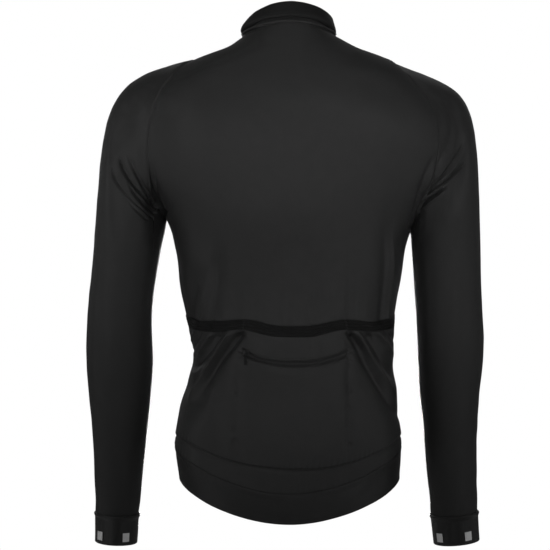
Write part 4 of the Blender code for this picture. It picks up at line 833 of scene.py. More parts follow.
def grid_mesh(name, P, uv, quads=None, good=None, flip=False, turned=None, allowance=.0035):
    """A mesh from a grid of points. turned gives the outward normals where the piece's edges are to be turned in by a
    seam allowance; its points are its own, so that the edge stays crisp."""
    n, m = P.shape[:2]
    if good is None:
        good = np.ones((n, m), bool)
    if quads is None:
        quads = np.ones((n - 1, m - 1), bool)
    index = np.full((n, m), -1)
    index[good] = np.arange(good.sum())
    points, faces, cloth_uv = P[good], grid_faces(quads, index, flip), uv[good]
    if turned is not None:
        inner = points - turned[good] * allowance
        a = np.concatenate([faces[:, k] for k in range(4)])
        b = np.concatenate([faces[:, (k + 1) % 4] for k in range(4)])
        size = len(points)
        open_edge = ~np.isin(a * size + b, b * size + a)
        a, b = a[open_edge], b[open_edge]
        used, back_to = np.unique(np.concatenate([a, b]), return_inverse=True)
        ia, ib = back_to[:len(a)] + size, back_to[len(a):] + size
        count = len(used)
        points = np.concatenate([points, points[used], inner[used]])
        cloth_uv = np.concatenate([cloth_uv, cloth_uv[used], cloth_uv[used]])
        faces = np.concatenate([faces, np.stack([ib, ia, ia + count, ib + count], -1)])
    return mesh_from(name, points, faces, cloth_uv)


def grid_normals(P, wrap=False):
    if wrap:
        Q = np.concatenate([P[-2:-1], P, P[1:2]])
        a = (Q[2:] - Q[:-2])
    else:
        a = np.gradient(P, axis=0)
    b = np.gradient(P, axis=1)
    return unit(np.cross(a, b))


def edge_distance(P, runs):
    """Distance from points to the nearest of some lines of points."""
    pts = np.concatenate(runs)
    tree = kdtree.KDTree(len(pts))
    for i, p in enumerate(pts):
        tree.insert(p, i)
    tree.balance()
    flat = P.reshape(-1, 3)
    near = [tree.find(p) for p in flat]
    return (np.array([n[2] for n in near]).reshape(P.shape[:-1]), np.array([n[1] for n in near]).reshape(P.shape[:-1]))


# ---------------------------------------------------------------- stitches and other small rows
def surface_of(*objects):
    """A search tree over finished cloth, to lay small things on it."""
    points, faces = [], []
    for obj in objects:
        mesh = obj.data
        co = np.zeros(len(mesh.vertices) * 3, np.float32)
        mesh.vertices.foreach_get("co", co)
        base = len(points)
        points += co.reshape(-1, 3).tolist()
        faces += [[v + base for v in f.vertices] for f in mesh.polygons]
    return bvhtree.BVHTree.FromPolygons(points, faces)


def beside(angle, level, off):
    """A line on the body's form, moved sideways along the form by off (+ to the left of its run, seen from outside)."""
    p, n = form_point(angle, level), form_normal(angle, level)
    t = unit(np.gradient(p, axis=0))
    return p + np.cross(n, t) * off


def evenly(line, pitch, start=.5):
    """Points along a line a pitch apart, with the line's direction at each."""
    seg = np.linalg.norm(np.diff(line, axis=0), axis=-1)
    s = np.concatenate([[0], np.cumsum(seg)])
    n = max(int(s[-1] / pitch), 1)
    want = (np.arange(n) + start) * s[-1] / n
    p = np.stack([np.interp(want, s, line[:, k]) for k in range(3)], -1)
    q = np.stack([np.interp(np.minimum(want + pitch * .4, s[-1]), s, line[:, k]) for k in range(3)], -1)
    r = np.stack([np.interp(np.maximum(want - pitch * .4, 0), s, line[:, k]) for k in range(3)], -1)
    return p, unit(q - r)


def small_rows(name, rows, surface, finish, nodes=(), slot=None):
    """Many small pads laid on a surface, joined in one mesh. Each row is (line, pitch, length, width, height, cross, sink):
    cross turns the pads across the line, sink lowers them into the cloth."""
    points, faces = [], []
    for line, pitch, length, width, height, cross, sink in rows:
        p, t = evenly(line, pitch)
        for k in range(len(p)):
            spot, normal, _, _ = surface.find_nearest(Vector(p[k]))
            if spot is None or (spot - Vector(p[k])).length > .012:
                continue
            n = np.array(normal)
            if np.dot(n, form_out(np.array(spot))) < 0:
                n = -n
            a = t[k] - n * np.dot(t[k], n)
            a = a / np.linalg.norm(a)
            b = np.cross(n, a)
            if cross:
                a, b = b, -a
            c = np.array(spot) - n * sink
            i = len(points)
            points += [c - a * length / 2, c + a * length / 2, c - b * width / 2, c + b * width / 2,
                       c - a * length * .28 + n * height, c + a * length * .28 + n * height]
            faces += [(i, i + 2, i + 5, i + 4), (i + 2, i + 1, i + 5, i + 5), (i + 1, i + 3, i + 5, i + 5),
                      (i + 3, i, i + 4, i + 5)]
    mesh = mesh_from(name, np.array(points), np.array(faces), np.array(points)[:, (0, 2)])
    return place(name, mesh, finish, nodes, slot)


def form_out(p):
    """Roughly outwards at a point of the jacket: away from the middle of the torso, or of the arm it is on."""
    x = .235 if p[0] > .185 and p[2] < -.2 else -.227 if p[0] < -.185 and p[2] < -.2 else 0
    d = np.array([p[0] - x, p[1], .15 * (p[2] + .25) if x == 0 else 0])
    if x == 0 and p[2] > -.1:
        d = np.array([.4 * p[0], .6 * p[1], .2 + p[2]])
    return d / np.linalg.norm(d)


# ---------------------------------------------------------------- the body's cloth
def outline_runs(columns, ends, edge, fine=40):
    """The outline of a body piece as runs of angles and levels: foot, sides, armholes and top."""
    left, right = ends

    def run(c0, r0, c1, r1):
        n = int(fine * max(abs(c1 - c0), abs(r1 - r0), 1))
        f = np.linspace(0, 1, n + 1)
        return edge(c0 + (c1 - c0) * f, r0 + (r1 - r0) * f)
    runs = {"foot": run(0, 0, columns, 0)}
    for name, c, notch, way in (("first", 0, left, 1), ("last", columns, right, -1)):
        if notch:
            runs[name + " side"] = run(c, 0, c, SIDE_ROWS)
            a = run(c, SIDE_ROWS, c + way * ARM_NOTCH, SIDE_ROWS)
            b = run(c + way * ARM_NOTCH, SIDE_ROWS, c + way * ARM_NOTCH, TOP_ROW)
            runs[name + " hole"] = tuple(np.concatenate([i, j[1:]]) for i, j in zip(a, b))
        else:
            runs[name + " side"] = run(c, 0, c, TOP_ROW)
    runs["top"] = run(ARM_NOTCH if left else 0, TOP_ROW, columns - (ARM_NOTCH if right else 0), TOP_ROW)
    return runs


def seam_fields(P, runs):
    """Distance to the nearest seam and the place along it, at points."""
    lines = [form_point(a, t) for a, t in runs]
    along = np.concatenate([np.concatenate([[0], np.cumsum(np.linalg.norm(np.diff(p, axis=0), axis=-1))]) + .137 * k
                            for k, p in enumerate(lines)])
    d, i = edge_distance(P, lines)
    return d, along[i]


def pocket_total(P, A, T):
    """How far the pocket cloth stands off its plain place, without the recess of its zip."""
    f = np.clip(pocket_share(A, T), 0, 1)
    bulge = POCKET_BULGE * np.sin(pi * f) ** .7 * np.sqrt(np.maximum(np.cos(np.radians(A)), 0))
    near = 1 - step(.955, 1.0, f)
    return bulge + pocket_height(P, A, T) * (.12 + .88 * near)


def body_cloth(name, node, columns, ends, edge, flat, area, facing, fine):
    tight = [(0, 1), (columns, -1), (ARM_NOTCH, 1), (columns - ARM_NOTCH, -1)]
    u = cell_lines(columns, fine[0], tight)
    w = cell_lines(TOP_ROW, fine[1], [(0, 1), (TOP_ROW, -1), (SIDE_ROWS, -1)])
    U, W, A, T, good, quads = network(columns, ends, u, w, edge)
    A, T = np.where(good, A, 0), np.where(good, T, 5)
    P, N = form_point(A, T), form_normal(A, T)
    runs = outline_runs(columns, ends, edge)
    zipped = [] if ends[1] else [runs.pop("last side")]
    d, along = seam_fields(P, list(runs.values()))
    h = body_height(P)
    inside = (T < curve_at(MOUTH, MOUTH_COLUMNS, "top", A) + .1) & (np.abs(A) < SIDE_SEAM + .1)
    under = np.minimum(pocket_total(P, A, T), 0) * (1 - step(1.0, 1.25, pocket_share(A, T)))
    h = h + np.where(inside, under, 0)
    if ends[1]:      # the back is drawn in just under the pockets' foot
        below = (curve_at(MOUTH, MOUTH_COLUMNS, "foot", A) - T) * .050
        h = h - .0014 * np.exp(-(np.maximum(below, 0) / .0022) ** 1.5) * (below > -.004) * step(.6, 1.0, below / .0008 + 1)
    h = h + seam_valley(d) + pucker(d, along)
    if zipped:
        z = seam_fields(P, zipped)[0]
        h = h - .0016 * np.exp(-(z / .0018) ** 2) + .0005 * np.exp(-((z - .0042) / .0022) ** 2)
        h = h + .0004 * np.sin(P[..., 2] / .019 * 2 * pi + 2 * np.sin(P[..., 2] / .05)) * np.exp(-(z / .012) ** 2)
    Q = P + N * h[..., None]
    uv = arc_uv(BODY_ARC, A, T)
    mesh = grid_mesh(name, Q, uv, quads, good, flip=facing < 0, turned=N)
    obj = place(name, mesh, KNIT, (node,), "body_knit")
    return obj, runs


# ---------------------------------------------------------------- sleeves
def sleeve_values(side):
    s = side_name(side)
    return (column(SLEEVE, SLEEVE_COLUMNS, s + "_x"), column(SLEEVE, SLEEVE_COLUMNS, "y"), column(SLEEVE, SLEEVE_COLUMNS, "z"),
            column(SLEEVE, SLEEVE_COLUMNS, s + "_wide"), column(SLEEVE, SLEEVE_COLUMNS, "deep"))


def arm_point(side, turn, station):
    """Points of a sleeve below the armhole. turn: 0 the inside of the arm, 90 its back, 180 its outside, 270 its front."""
    turn, station = np.broadcast_arrays(np.asarray(turn, float), np.asarray(station, float))
    x, y, z, wide, deep = (at(v, station) for v in sleeve_values(side))
    last = len(SLEEVE) - 1
    axis = unit(np.stack([at(v, np.minimum(station + .1, last)) - at(v, np.maximum(station - .1, 0))
                          for v in sleeve_values(side)[:3]], -1))
    out = unit(np.array([side, 0.0, 0.0]) - axis * axis[..., :1] * side)
    behind = np.array([0.0, 1.0, 0.0]) - axis * axis[..., 1:2]
    behind = unit(behind - out * (behind * out).sum(-1, keepdims=True))
    a = np.radians(turn)[..., None]
    return (np.stack([x, y, z], -1) - out * np.cos(a) * wide[..., None] / 2 + behind * np.sin(a) * deep[..., None] / 2)


def around_curve(values, s):
    """Catmull-Rom through values that close on themselves, one for each whole step of s."""
    n = len(values)
    i = np.floor(s).astype(int)
    f = (s - i)[:, None]
    p0, p1, p2, p3 = values[(i - 1) % n], values[i % n], values[(i + 1) % n], values[(i + 2) % n]
    return .5 * (2 * p1 + (p2 - p0) * f + (2 * p0 - 5 * p1 + 4 * p2 - p3) * f * f + (3 * p1 - p0 - 3 * p2 + p3) * f ** 3)


def cap_slopes(side):
    n = 2 * ARM_ROWS
    angle, level = HOLE[side](np.arange(n))
    points, normal = form_point(angle, level), form_normal(angle, level)
    along = unit(np.roll(points, -1, 0) - np.roll(points, 1, 0))
    onward = unit(np.cross(along, normal))
    centre = np.array([side * .19, 0, -.11])
    onward = np.where(((onward * (centre - points)).sum(-1) < 0)[:, None], -onward, onward)
    turn = 360 * np.arange(n) / n
    top = .5 - .5 * np.cos(np.radians(turn))[:, None]
    end = arm_point(side, turn, np.zeros(n))
    down = unit(arm_point(side, turn, np.full(n, .25)) - end) - np.array([side, 0, 0]) * CAP_LEAN[side] * top
    chord = end - points
    straight = unit(chord)
    leave = unit(onward * (.15 + .85 * top ** 1.5) + straight * (1.1 - top))
    eased = unit(leave + (straight - leave) * np.clip(1 - top / .35, 0, 1))
    leave = np.where(top < .35, eased, leave)
    push, lift = CAP_PUSH[side]
    leave = unit(leave + np.array([side * push, 0, lift]) * top ** 4)
    reach = np.linalg.norm(chord, axis=-1, keepdims=True)
    full = 1 + (CAP_FULL[side] - 1) * top ** 4
    start, finish = leave * reach * (.75 + .75 * top), down * reach * (.65 + 1.50 * top * top) * full
    for _ in range(3):
        start = (np.roll(start, 1, 0) + 2 * start + np.roll(start, -1, 0)) / 4
    return start, finish


def sleeve_grid(side, s, rows):
    """A sleeve's points at places s round it (0 to 20) and rows down it: below 0 on the cap, from -1 at the armhole,
    then the stations of the arm."""
    start, finish = cap_slopes(side)
    m0, m1 = around_curve(start, s)[:, None], around_curve(finish, s)[:, None]
    p0, p1 = form_point(*HOLE[side](s))[:, None], arm_point(side, 18 * s, np.zeros(len(s)))[:, None]
    cap = rows[rows < 0]
    f = (cap + 1)[None, :, None]
    upper = (p0 * (2 * f ** 3 - 3 * f * f + 1) + m0 * (f ** 3 - 2 * f * f + f)
             + p1 * (3 * f * f - 2 * f ** 3) + m1 * (f ** 3 - f * f))
    a, b = np.meshgrid(18 * s, rows[rows >= 0], indexing="ij")
    return np.concatenate([upper, arm_point(side, a, b)], 1)


def outward(P, N):
    """Normals of a tube turned to point out of it."""
    middle = P.mean(0, keepdims=True)
    sign = np.sign(np.median(((P - middle) * N).sum(-1)))
    return N * sign


def lengths(P, axis):
    seg = np.linalg.norm(np.diff(P, axis=axis), axis=-1)
    zero = np.zeros_like(np.take(seg, [0], axis=axis))
    return np.concatenate([zero, np.cumsum(seg, axis=axis)], axis=axis)


def tube_uv(P):
    u = lengths(P, 0)
    v = lengths(P, 1)
    mid = u[len(u) // 4][None]
    return np.stack([u - mid, v], -1)


def make_sleeve(side):
    name = "sleeve_" + side_name(side)
    s = np.unique(np.round(np.concatenate([np.linspace(0, 20, 141), np.linspace(.4, 8.0, 147),
                                           [.01, .03, .06, .1, 19.99, 19.97, 19.94, 19.9]]), 5))
    last = [row[0] for row in SLEEVE].index("cuff seam")
    cap = np.unique(np.round(np.concatenate([np.linspace(-1, 0, 116)[:-1], -1 + np.array([.0025, .006, .0105, .017])]), 6))
    rows = np.concatenate([cap, np.linspace(0, last, 15 * last + 1), [last + .03, last + .07]])
    P = sleeve_grid(side, s, rows)
    N = outward(P, grid_normals(P, wrap=True))
    start = P[:, :1]
    d = np.minimum(np.linalg.norm(P - start, axis=-1), lengths(P, 1))
    x, y = sight(P)
    back = step(-.022, .004, P[..., 1])
    table = LEFT_SLEEVE_FOLDS if side > 0 else RIGHT_SLEEVE_FOLDS
    h = folds(table, x, y, MM) * back + front_folds(FRONT_SLEEVE_FOLDS, P[..., 0], P[..., 2]) * (1 - step(-.03, -.012, P[..., 1]))
    h = h + .00055 * soft_noise(P, (.026, .05, .040), 11 + side) + .00028 * soft_noise(P, (.012, .02, .016), 14 + side)
    low = rows[None, :] / last
    h = h + .0003 * step(.72, .98, np.broadcast_to(low, h.shape)) * soft_noise(P, (.014, .014, .06), 17 + side)
    under = np.minimum(lengths(P, 0), lengths(P[::-1], 0)[::-1])
    h = h - .0009 * np.exp(-(under / .0016) ** 1.4)
    h = h + seam_valley(d) + pucker(d, lengths(P, 0)) * .8
    tuck = rows[None, :] - last
    h = h - .0003 * step(-.03, .01, np.broadcast_to(tuck, h.shape))
    angle, level = HOLE[side](s)
    hp, hn = form_point(angle, level), form_normal(angle, level)
    join = hn * (body_height(hp) - SEAM_DEEP)[:, None]
    b = step(0, .0045, d)[..., None]
    D = N * h[..., None] * b + join[:, None] * (1 - b)
    mesh = grid_mesh(name, P + D, tube_uv(P), turned=N, allowance=.0022, flip=(np.cross(np.gradient(P, axis=0), np.gradient(P, axis=1)) * N).sum() < 0)
    obj = place(name + "_cloth", mesh, KNIT, (name,), "body_knit")
    return obj


def rolled_end(P, N, down, radius, back, steps=6):
    """Extra rows that turn a free edge inwards: half a turn round, then back along the inside."""
    rows = []
    radius = np.broadcast_to(np.asarray(radius, float), P.shape[:1])[:, None]
    for k in range(1, steps + 1):
        a = pi * k / steps
        rows.append(P + down * radius * sin(a) - N * radius * (1 - cos(a)))
    for f in (.35, 1.0):
        rows.append(P - N * radius * 2 - down * back * f)
    return np.stack(rows, 1)


def longer(N, Q):
    """Normals for a grid that has had rows added at its end."""
    return np.concatenate([N, np.repeat(N[:, -1:], Q.shape[1] - N.shape[1], 1)], 1)


def make_cuff(side):
    name = "cuff_" + side_name(side)
    first = [row[0] for row in SLEEVE].index("cuff seam")
    s = np.linspace(0, 360, 151)
    q = np.unique(np.round(np.concatenate([[0, .004, .010, .018, .03], np.linspace(.03, 1, 30)]), 5))
    a, t = np.meshgrid(s, first + .01 + .965 * q, indexing="ij")
    P = arm_point(side, a, t)
    N = outward(P, grid_normals(P, wrap=True))
    v = lengths(P, 1)
    h = .0004 + .0016 * np.exp(-((v - .0022) / .0030) ** 2) - .0007 * np.exp(-(v / .0008) ** 1.6)
    h = h + .00035 * soft_noise(P, (.016, .02, .020), 21 + side) * step(0, .01, v)
    Q = P + N * h[..., None]
    down = unit(Q[:, -1] - Q[:, -2])
    Q = np.concatenate([Q, rolled_end(Q[:, -1], N[:, -1], down, .0010, .009)], 1)
    mesh = grid_mesh(name, Q, tube_uv(Q), turned=longer(N, Q), allowance=.0015, flip=(np.cross(np.gradient(P, axis=0), np.gradient(P, axis=1)) * N).sum() < 0)
    obj = place(name + "_band", mesh, RIB_KNIT, (name,), "cuff_knit")
    return obj


# ---------------------------------------------------------------- collar, tape, hem
def round_angles(level, count):
    """Angles round the neck or hem, from the left front's edge at the zip round the back to the right front's, evenly
    far apart."""
    end = float(zip_angle(1, np.array([level]))[0])
    fine = np.linspace(end, -end, 2001)
    p = form_point(fine, np.full(fine.shape, level))
    s = np.concatenate([[0], np.cumsum(np.linalg.norm(np.diff(p, axis=0), axis=-1))])
    return np.interp(np.linspace(0, s[-1], count), s, fine)


def band(angles, low, high, rows):
    """Points and normals of a band round the body's form, between two levels given for every angle."""
    A = np.repeat(angles[:, None], len(rows), 1)
    T = low[:, None] + (high - low)[:, None] * rows[None]
    return A, T, form_point(A, T), form_normal(A, T)


def collar_foot(angle):
    """Level of the collar's lower edge: it hangs over the tape at the back and meets the seam at the sides."""
    a = np.abs(angle)
    return NECK_LEVEL + 1.12 + .22 * step(10, 45, a) - .34 * step(48, 88, a) - .30 * step(95, 150, a)


def make_collar():
    angles = round_angles(NECK_LEVEL + 1.5, 230)
    rows = np.unique(np.concatenate([[0, .006, .014, .026, .04], np.linspace(.04, 1, 26)]))
    A, T, P, N = band(angles, collar_foot(angles), np.full(len(angles), NECK_LEVEL + 2.93), rows)
    v = lengths(P, 1)
    h = .0022 * (1 - np.exp(-(v / .0012) ** 1.5)) * (1 - .5 * step(.004, .014, v)) - .0004
    h = h + .0005 * soft_noise(P, (.020, .02, .014), 31) + .0002 * soft_noise(P, (.009, .01, .008), 32)
    high = .15 + .85 * np.sin(np.minimum(rows[None] * 1.25, 1) * pi / 2)      # it stands rounder beside the nape
    h = h + (.0042 * np.exp(-((A - 68) / 38) ** 2) + .0036 * np.exp(-((A + 48) / 30) ** 2)) * high * step(0, .2, rows[None])
    h = h - .0014 * np.exp(-(np.minimum(lengths(P, 0), lengths(P[::-1], 0)[::-1]) / .0016) ** 2)
    Q = P + N * h[..., None]
    Q = np.concatenate([Q, rolled_end(Q[:, -1], N[:, -1], unit(Q[:, -1] - Q[:, -2]), .0011, .012)], 1)
    uv = np.stack([lengths(Q, 0) - lengths(Q, 0)[len(Q) // 2][None], lengths(Q, 1)], -1)
    # the collar's cloth is a darker copy of the body knit: painted shade
    obj = place("collar_cloth", grid_mesh("collar_cloth", Q, uv, turned=longer(N, Q), allowance=.0020), COLLAR_KNIT_PAINTED_SHADE, ("collar",), "body_knit")
    return obj


def make_tape():
    """The tape inside the neck with the bright roll of its lower edge, which is sewn over the neck seam."""
    angles = round_angles(NECK_LEVEL + .5, 230)
    low = NECK_LEVEL + neck_rise(angles) - .05
    high = np.maximum(collar_foot(angles) + .16, low + .30)
    rows = np.unique(np.concatenate([np.linspace(0, .5, 26), np.linspace(.5, 1, 8)]))
    A, T, P, N = band(angles, low, high, rows)
    v = lengths(P, 1)
    roll = np.clip(1 - ((v - .0021) / .0023) ** 2, 0, None) ** .5
    h = -.0018 + .0036 * roll - .0010 * np.exp(-(v / .0006) ** 2)
    h = h + .00012 * np.sin(lengths(P, 0) / .0032 * 2 * pi) * roll
    Q = P + N * h[..., None]
    uv = np.stack([lengths(Q, 0) - lengths(Q, 0)[len(Q) // 2][None], v], -1)
    obj = place("neck_tape_band", grid_mesh("neck_tape_band", Q, uv, turned=N), TAPE, ("neck_tape",), "neck_tape")
    return obj


def make_gripper():
    angles = round_angles(.5, 401)
    rows = np.unique(np.concatenate([np.linspace(0, 1, 26), [.975, .985, .992, .997]]))
    A, T, P, N = band(angles, np.zeros(len(angles)), np.full(len(angles), HEM_LEVEL), rows)
    v = lengths(P[:, ::-1], 1)[:, ::-1]           # down from the seam
    x, y = sight(P)
    own = .0006 * soft_noise(P, (.024, .05, .030), 41) + .0002 * soft_noise(P, (.010, .02, .012), 42)
    own = own + folds(HEM_FOLDS, x, y, MM) * back_side(P)
    share = step(0, .010, v)
    h = seam_valley(v, deep=.0006) + pucker(v, lengths(P, 0)) * .8 + body_height(P) * (1 - share) + own * share
    edge = np.minimum(lengths(P, 0), lengths(P[::-1], 0)[::-1])
    h = h - .0014 * np.exp(-(edge / .0016) ** 2)
    Q = P + N * h[..., None]
    Q = Q[:, ::-1]
    N = N[:, ::-1]
    Q = np.concatenate([Q, rolled_end(Q[:, -1], N[:, -1], unit(Q[:, -1] - Q[:, -2]), .0010, .006)], 1)
    uv = np.stack([lengths(Q, 0) - lengths(Q, 0)[len(Q) // 2][None], -lengths(Q, 1)], -1)
    obj = place("hem_gripper_band", grid_mesh("hem_gripper_band", Q, uv, flip=True, turned=longer(N, Q)), GRIPPER, ("hem_gripper",), "gripper_knit")
    return obj


# ---------------------------------------------------------------- the pocket
POCKET_LIE = LAY + CLOTH
METRES_A_LEVEL = .058            # up the centre of the pocket
ZIP_DEEP, LIP_HIGH, LIP_WIDE = .0034, .0011, .0011


def lens(A, T):
    """Distances above the zip's lower line and below its upper one, metres, where both are above 0 inside it."""
    up = (curve_at(ZIP_LINE, ZIP_LINE_COLUMNS, "top", A) - T) * METRES_A_LEVEL
    low = (T - curve_at(ZIP_LINE, ZIP_LINE_COLUMNS, "bottom", A)) * METRES_A_LEVEL
    ends = step(ZIP_LINE[0][0] + 1.2, ZIP_LINE[0][0] - .6, A) * step(ZIP_LINE[-1][0] - 1.2, ZIP_LINE[-1][0] + .6, A)
    return low, up, ends


def side_cover(A):
    """How far the pocket's layers stand off the back towards the side seams, where they are drawn in."""
    away = np.minimum(np.abs(SIDE_SEAM - A), np.abs(SIDE_SEAM + A))
    return (1 - np.exp(-(away * .0023 / .0022) ** 1.3)) * (1 - .72 * step(58, 92, np.abs(A)))


def pocket_point(A, T, recess=True):
    P, N = form_point(A, T), form_normal(A, T)
    f = pocket_share(A, T)
    side = np.minimum(np.abs(SIDE_SEAM - A), np.abs(SIDE_SEAM + A)) * .0023
    foot = np.maximum(f, 0) * 6.0 * .030
    cover = (1 - np.exp(-(foot / .0018) ** 1.3)) * side_cover(A)
    h = body_height(P) + POCKET_LIE * cover + pocket_total(P, A, T) * np.minimum(1, cover + .15)
    h = h - .0022 * np.exp(-(foot / .0009) ** 1.8) - SEAM_DEEP * np.exp(-(side / .0016) ** 1.4)
    low, up, ends = lens(A, T)
    if recess:
        inside = step(-.0002, .0007, np.minimum(low, up))
        h = h - ZIP_DEEP * inside * ends
        h = h + LIP_HIGH * (np.exp(-((low + .0008) / LIP_WIDE) ** 2) * 1.2 + np.exp(-((up + .0008) / LIP_WIDE) ** 2)) * ends
    return P, N, h


def make_pocket():
    """The pocket cloth, sewn to the back at its foot, its sides and its two dividing seams."""
    a = np.linspace(SIDE_SEAM, -SIDE_SEAM, 301)
    a = np.unique(np.concatenate([a, SIDE_SEAM - np.array([.1, .25, .5]), -SIDE_SEAM + np.array([.1, .25, .5])]))[::-1]
    zip_rows = np.linspace(.50, .68, 46)
    rows = np.unique(np.round(np.concatenate([[0, .002, .005, .009, .014], np.linspace(.014, 1.06, 126), zip_rows]), 5))
    foot, lower = (curve_at(MOUTH, MOUTH_COLUMNS, key, a)[:, None] for key in ("foot", "bottom"))
    A = np.repeat(a[:, None], len(rows), 1)
    T = foot + (lower - foot) * rows[None]
    P, N, h = pocket_point(A, T)
    along = lengths(P, 0)
    h = h + pucker(np.maximum(rows[None], 0) * .19, along) * 1.2
    Q = P + N * h[..., None]
    uv = arc_uv(BODY_ARC, A, T)
    # the pocket's cloth is a slightly darker copy of the body knit: painted shade
    obj = place("pocket_sheet", grid_mesh("pocket_sheet", Q, uv, turned=N, allowance=.0015), POCKET_KNIT_PAINTED_SHADE, ("pocket_cloth",), "body_knit")
    return obj


def make_elastic():
    """The elastic round the pockets' mouth: three sewn lines, gathered a little more beside its anchors."""
    a = np.linspace(SIDE_SEAM, -SIDE_SEAM, 401)
    rows = np.unique(np.concatenate([np.linspace(0, 1, 29), [.02, .98]]))
    lower, upper = (curve_at(MOUTH, MOUTH_COLUMNS, key, a)[:, None] for key in ("bottom", "top"))
    A = np.repeat(a[:, None], len(rows), 1)
    T = lower + (upper - lower) * rows[None]
    P, N = form_point(A, T), form_normal(A, T)
    v = lengths(P, 1)
    tall = v[:, -1:]
    cover = side_cover(A)
    bulge = np.clip(1 - (2 * rows[None] - 1) ** 6, 0, 1) ** .5
    h = body_height(P) * (.6 + .4 * rows[None]) + (POCKET_LIE + .0015 * bulge) * cover - SEAM_DEEP * (1 - cover)
    lines = sum(np.exp(-((v - tall * f) / .0008) ** 2) for f in (.22, .52, .82))
    h = h - .0009 * lines * cover
    gather = np.sin(lengths(P, 0) / .0031 * 2 * pi + 1.3 * np.sin(lengths(P, 0) / .013) + rows[None] * 1.5)
    h = h + .00022 * gather * (1 - .6 * np.clip(lines, 0, 1)) + .0003 * soft_noise(P, (.012, .02, .008), 51)
    x, y = sight(P)
    for knot in ELASTIC_KNOTS:
        h = h - .0016 * np.exp(-((x - knot) / 1.8) ** 2)
    Q = P + N * h[..., None]
    flat = unit(P[:, -1] - P[:, -4])
    top = rolled_end(Q[:, -1], N[:, -1], flat, .0009 * cover[:, 0] + .0001, .004)
    foot = rolled_end(Q[:, 0], N[:, 0], -flat, .0006 * cover[:, 0] + .0001, .001)[:, :5]
    Q = np.concatenate([foot[:, ::-1], Q, top], 1)
    uv = np.stack([lengths(Q, 0) - lengths(Q, 0)[len(Q) // 2][None], lengths(Q, 1)], -1)
    obj = place("pocket_elastic_band", grid_mesh("pocket_elastic_band", Q, uv), ELASTIC_WEAVE, ("pocket_elastic",), "elastic")
    return obj


def make_pocket_zip():
    a = np.linspace(ZIP_LINE[0][0] + .6, ZIP_LINE[-1][0] - .6, 90)
    rows = np.linspace(-.06, 1.06, 15)
    low, top = (curve_at(ZIP_LINE, ZIP_LINE_COLUMNS, key, a)[:, None] for key in ("bottom", "top"))
    A = np.repeat(a[:, None], len(rows), 1)
    T = low + (top - low) * rows[None]
    P, N, h = pocket_point(A, T, recess=False)
    v = np.abs(rows[None] - .5)
    h = h - .0021 + .0012 * np.exp(-(v / .20) ** 2)
    ends = np.minimum(A - a[-1], a[0] - A)
    h = h - .0010 * np.exp(-(ends / 1.0) ** 2)
    Q = P + N * h[..., None]
    uv = np.stack([lengths(Q, 0) - lengths(Q, 0)[len(Q) // 2][None], lengths(Q, 1)], -1)
    obj = place("pocket_zip_band", grid_mesh("pocket_zip_band", Q, uv, turned=N, allowance=.0010), ZIP_TAPE, ("pocket_zip",), "zip_tape")
    return obj


# ---------------------------------------------------------------- materials
def nodes_of(name):
    m = bpy.data.materials.new(name)
    m.use_nodes = True
    return m, m.node_tree, m.node_tree.nodes["Principled BSDF"]


def link(tree, a, out, b, key):
    tree.links.new(a.outputs[out], b.inputs[key])


def noise(tree, source, scale, detail=2.0, rough=.5):
    n = tree.nodes.new("ShaderNodeTexNoise")
    n.inputs["Scale"].default_value = scale
    n.inputs["Detail"].default_value = detail
    n.inputs["Roughness"].default_value = rough
    tree.links.new(source, n.inputs["Vector"])
    return n


def wave(tree, source, scale, axis, distort=0.0):
    w = tree.nodes.new("ShaderNodeTexWave")
    w.bands_direction = axis
    w.wave_profile = "SIN"
    w.inputs["Scale"].default_value = scale
    w.inputs["Distortion"].default_value = distort
    tree.links.new(source, w.inputs["Vector"])
    return w


def ranged(tree, source, low, high, old=(0.0, 1.0)):
    r = tree.nodes.new("ShaderNodeMapRange")
    r.inputs["From Min"].default_value, r.inputs["From Max"].default_value = old
    r.inputs["To Min"].default_value, r.inputs["To Max"].default_value = low, high
    tree.links.new(source, r.inputs["Value"])
    return r


def mixed(tree, factor, a, b):
    m = tree.nodes.new("ShaderNodeMix")
    m.data_type = "RGBA"
    m.inputs[6].default_value = (*a, 1)
    m.inputs[7].default_value = (*b, 1)
    tree.links.new(factor, m.inputs[0])
    return m


def summed(tree, *parts):
    """Sum of (socket, weight) pairs."""
    total = None
    for socket, weight in parts:
        m = tree.nodes.new("ShaderNodeMath")
        m.operation = "MULTIPLY_ADD"
        tree.links.new(socket, m.inputs[0])
        m.inputs[1].default_value = weight
        if total is None:
            m.inputs[2].default_value = 0
        else:
            tree.links.new(total, m.inputs[2])
        total = m.outputs[0]
    return total


def grey(v, warm=0.0):
    return (v * (1 + warm), v, v * (1 - warm))


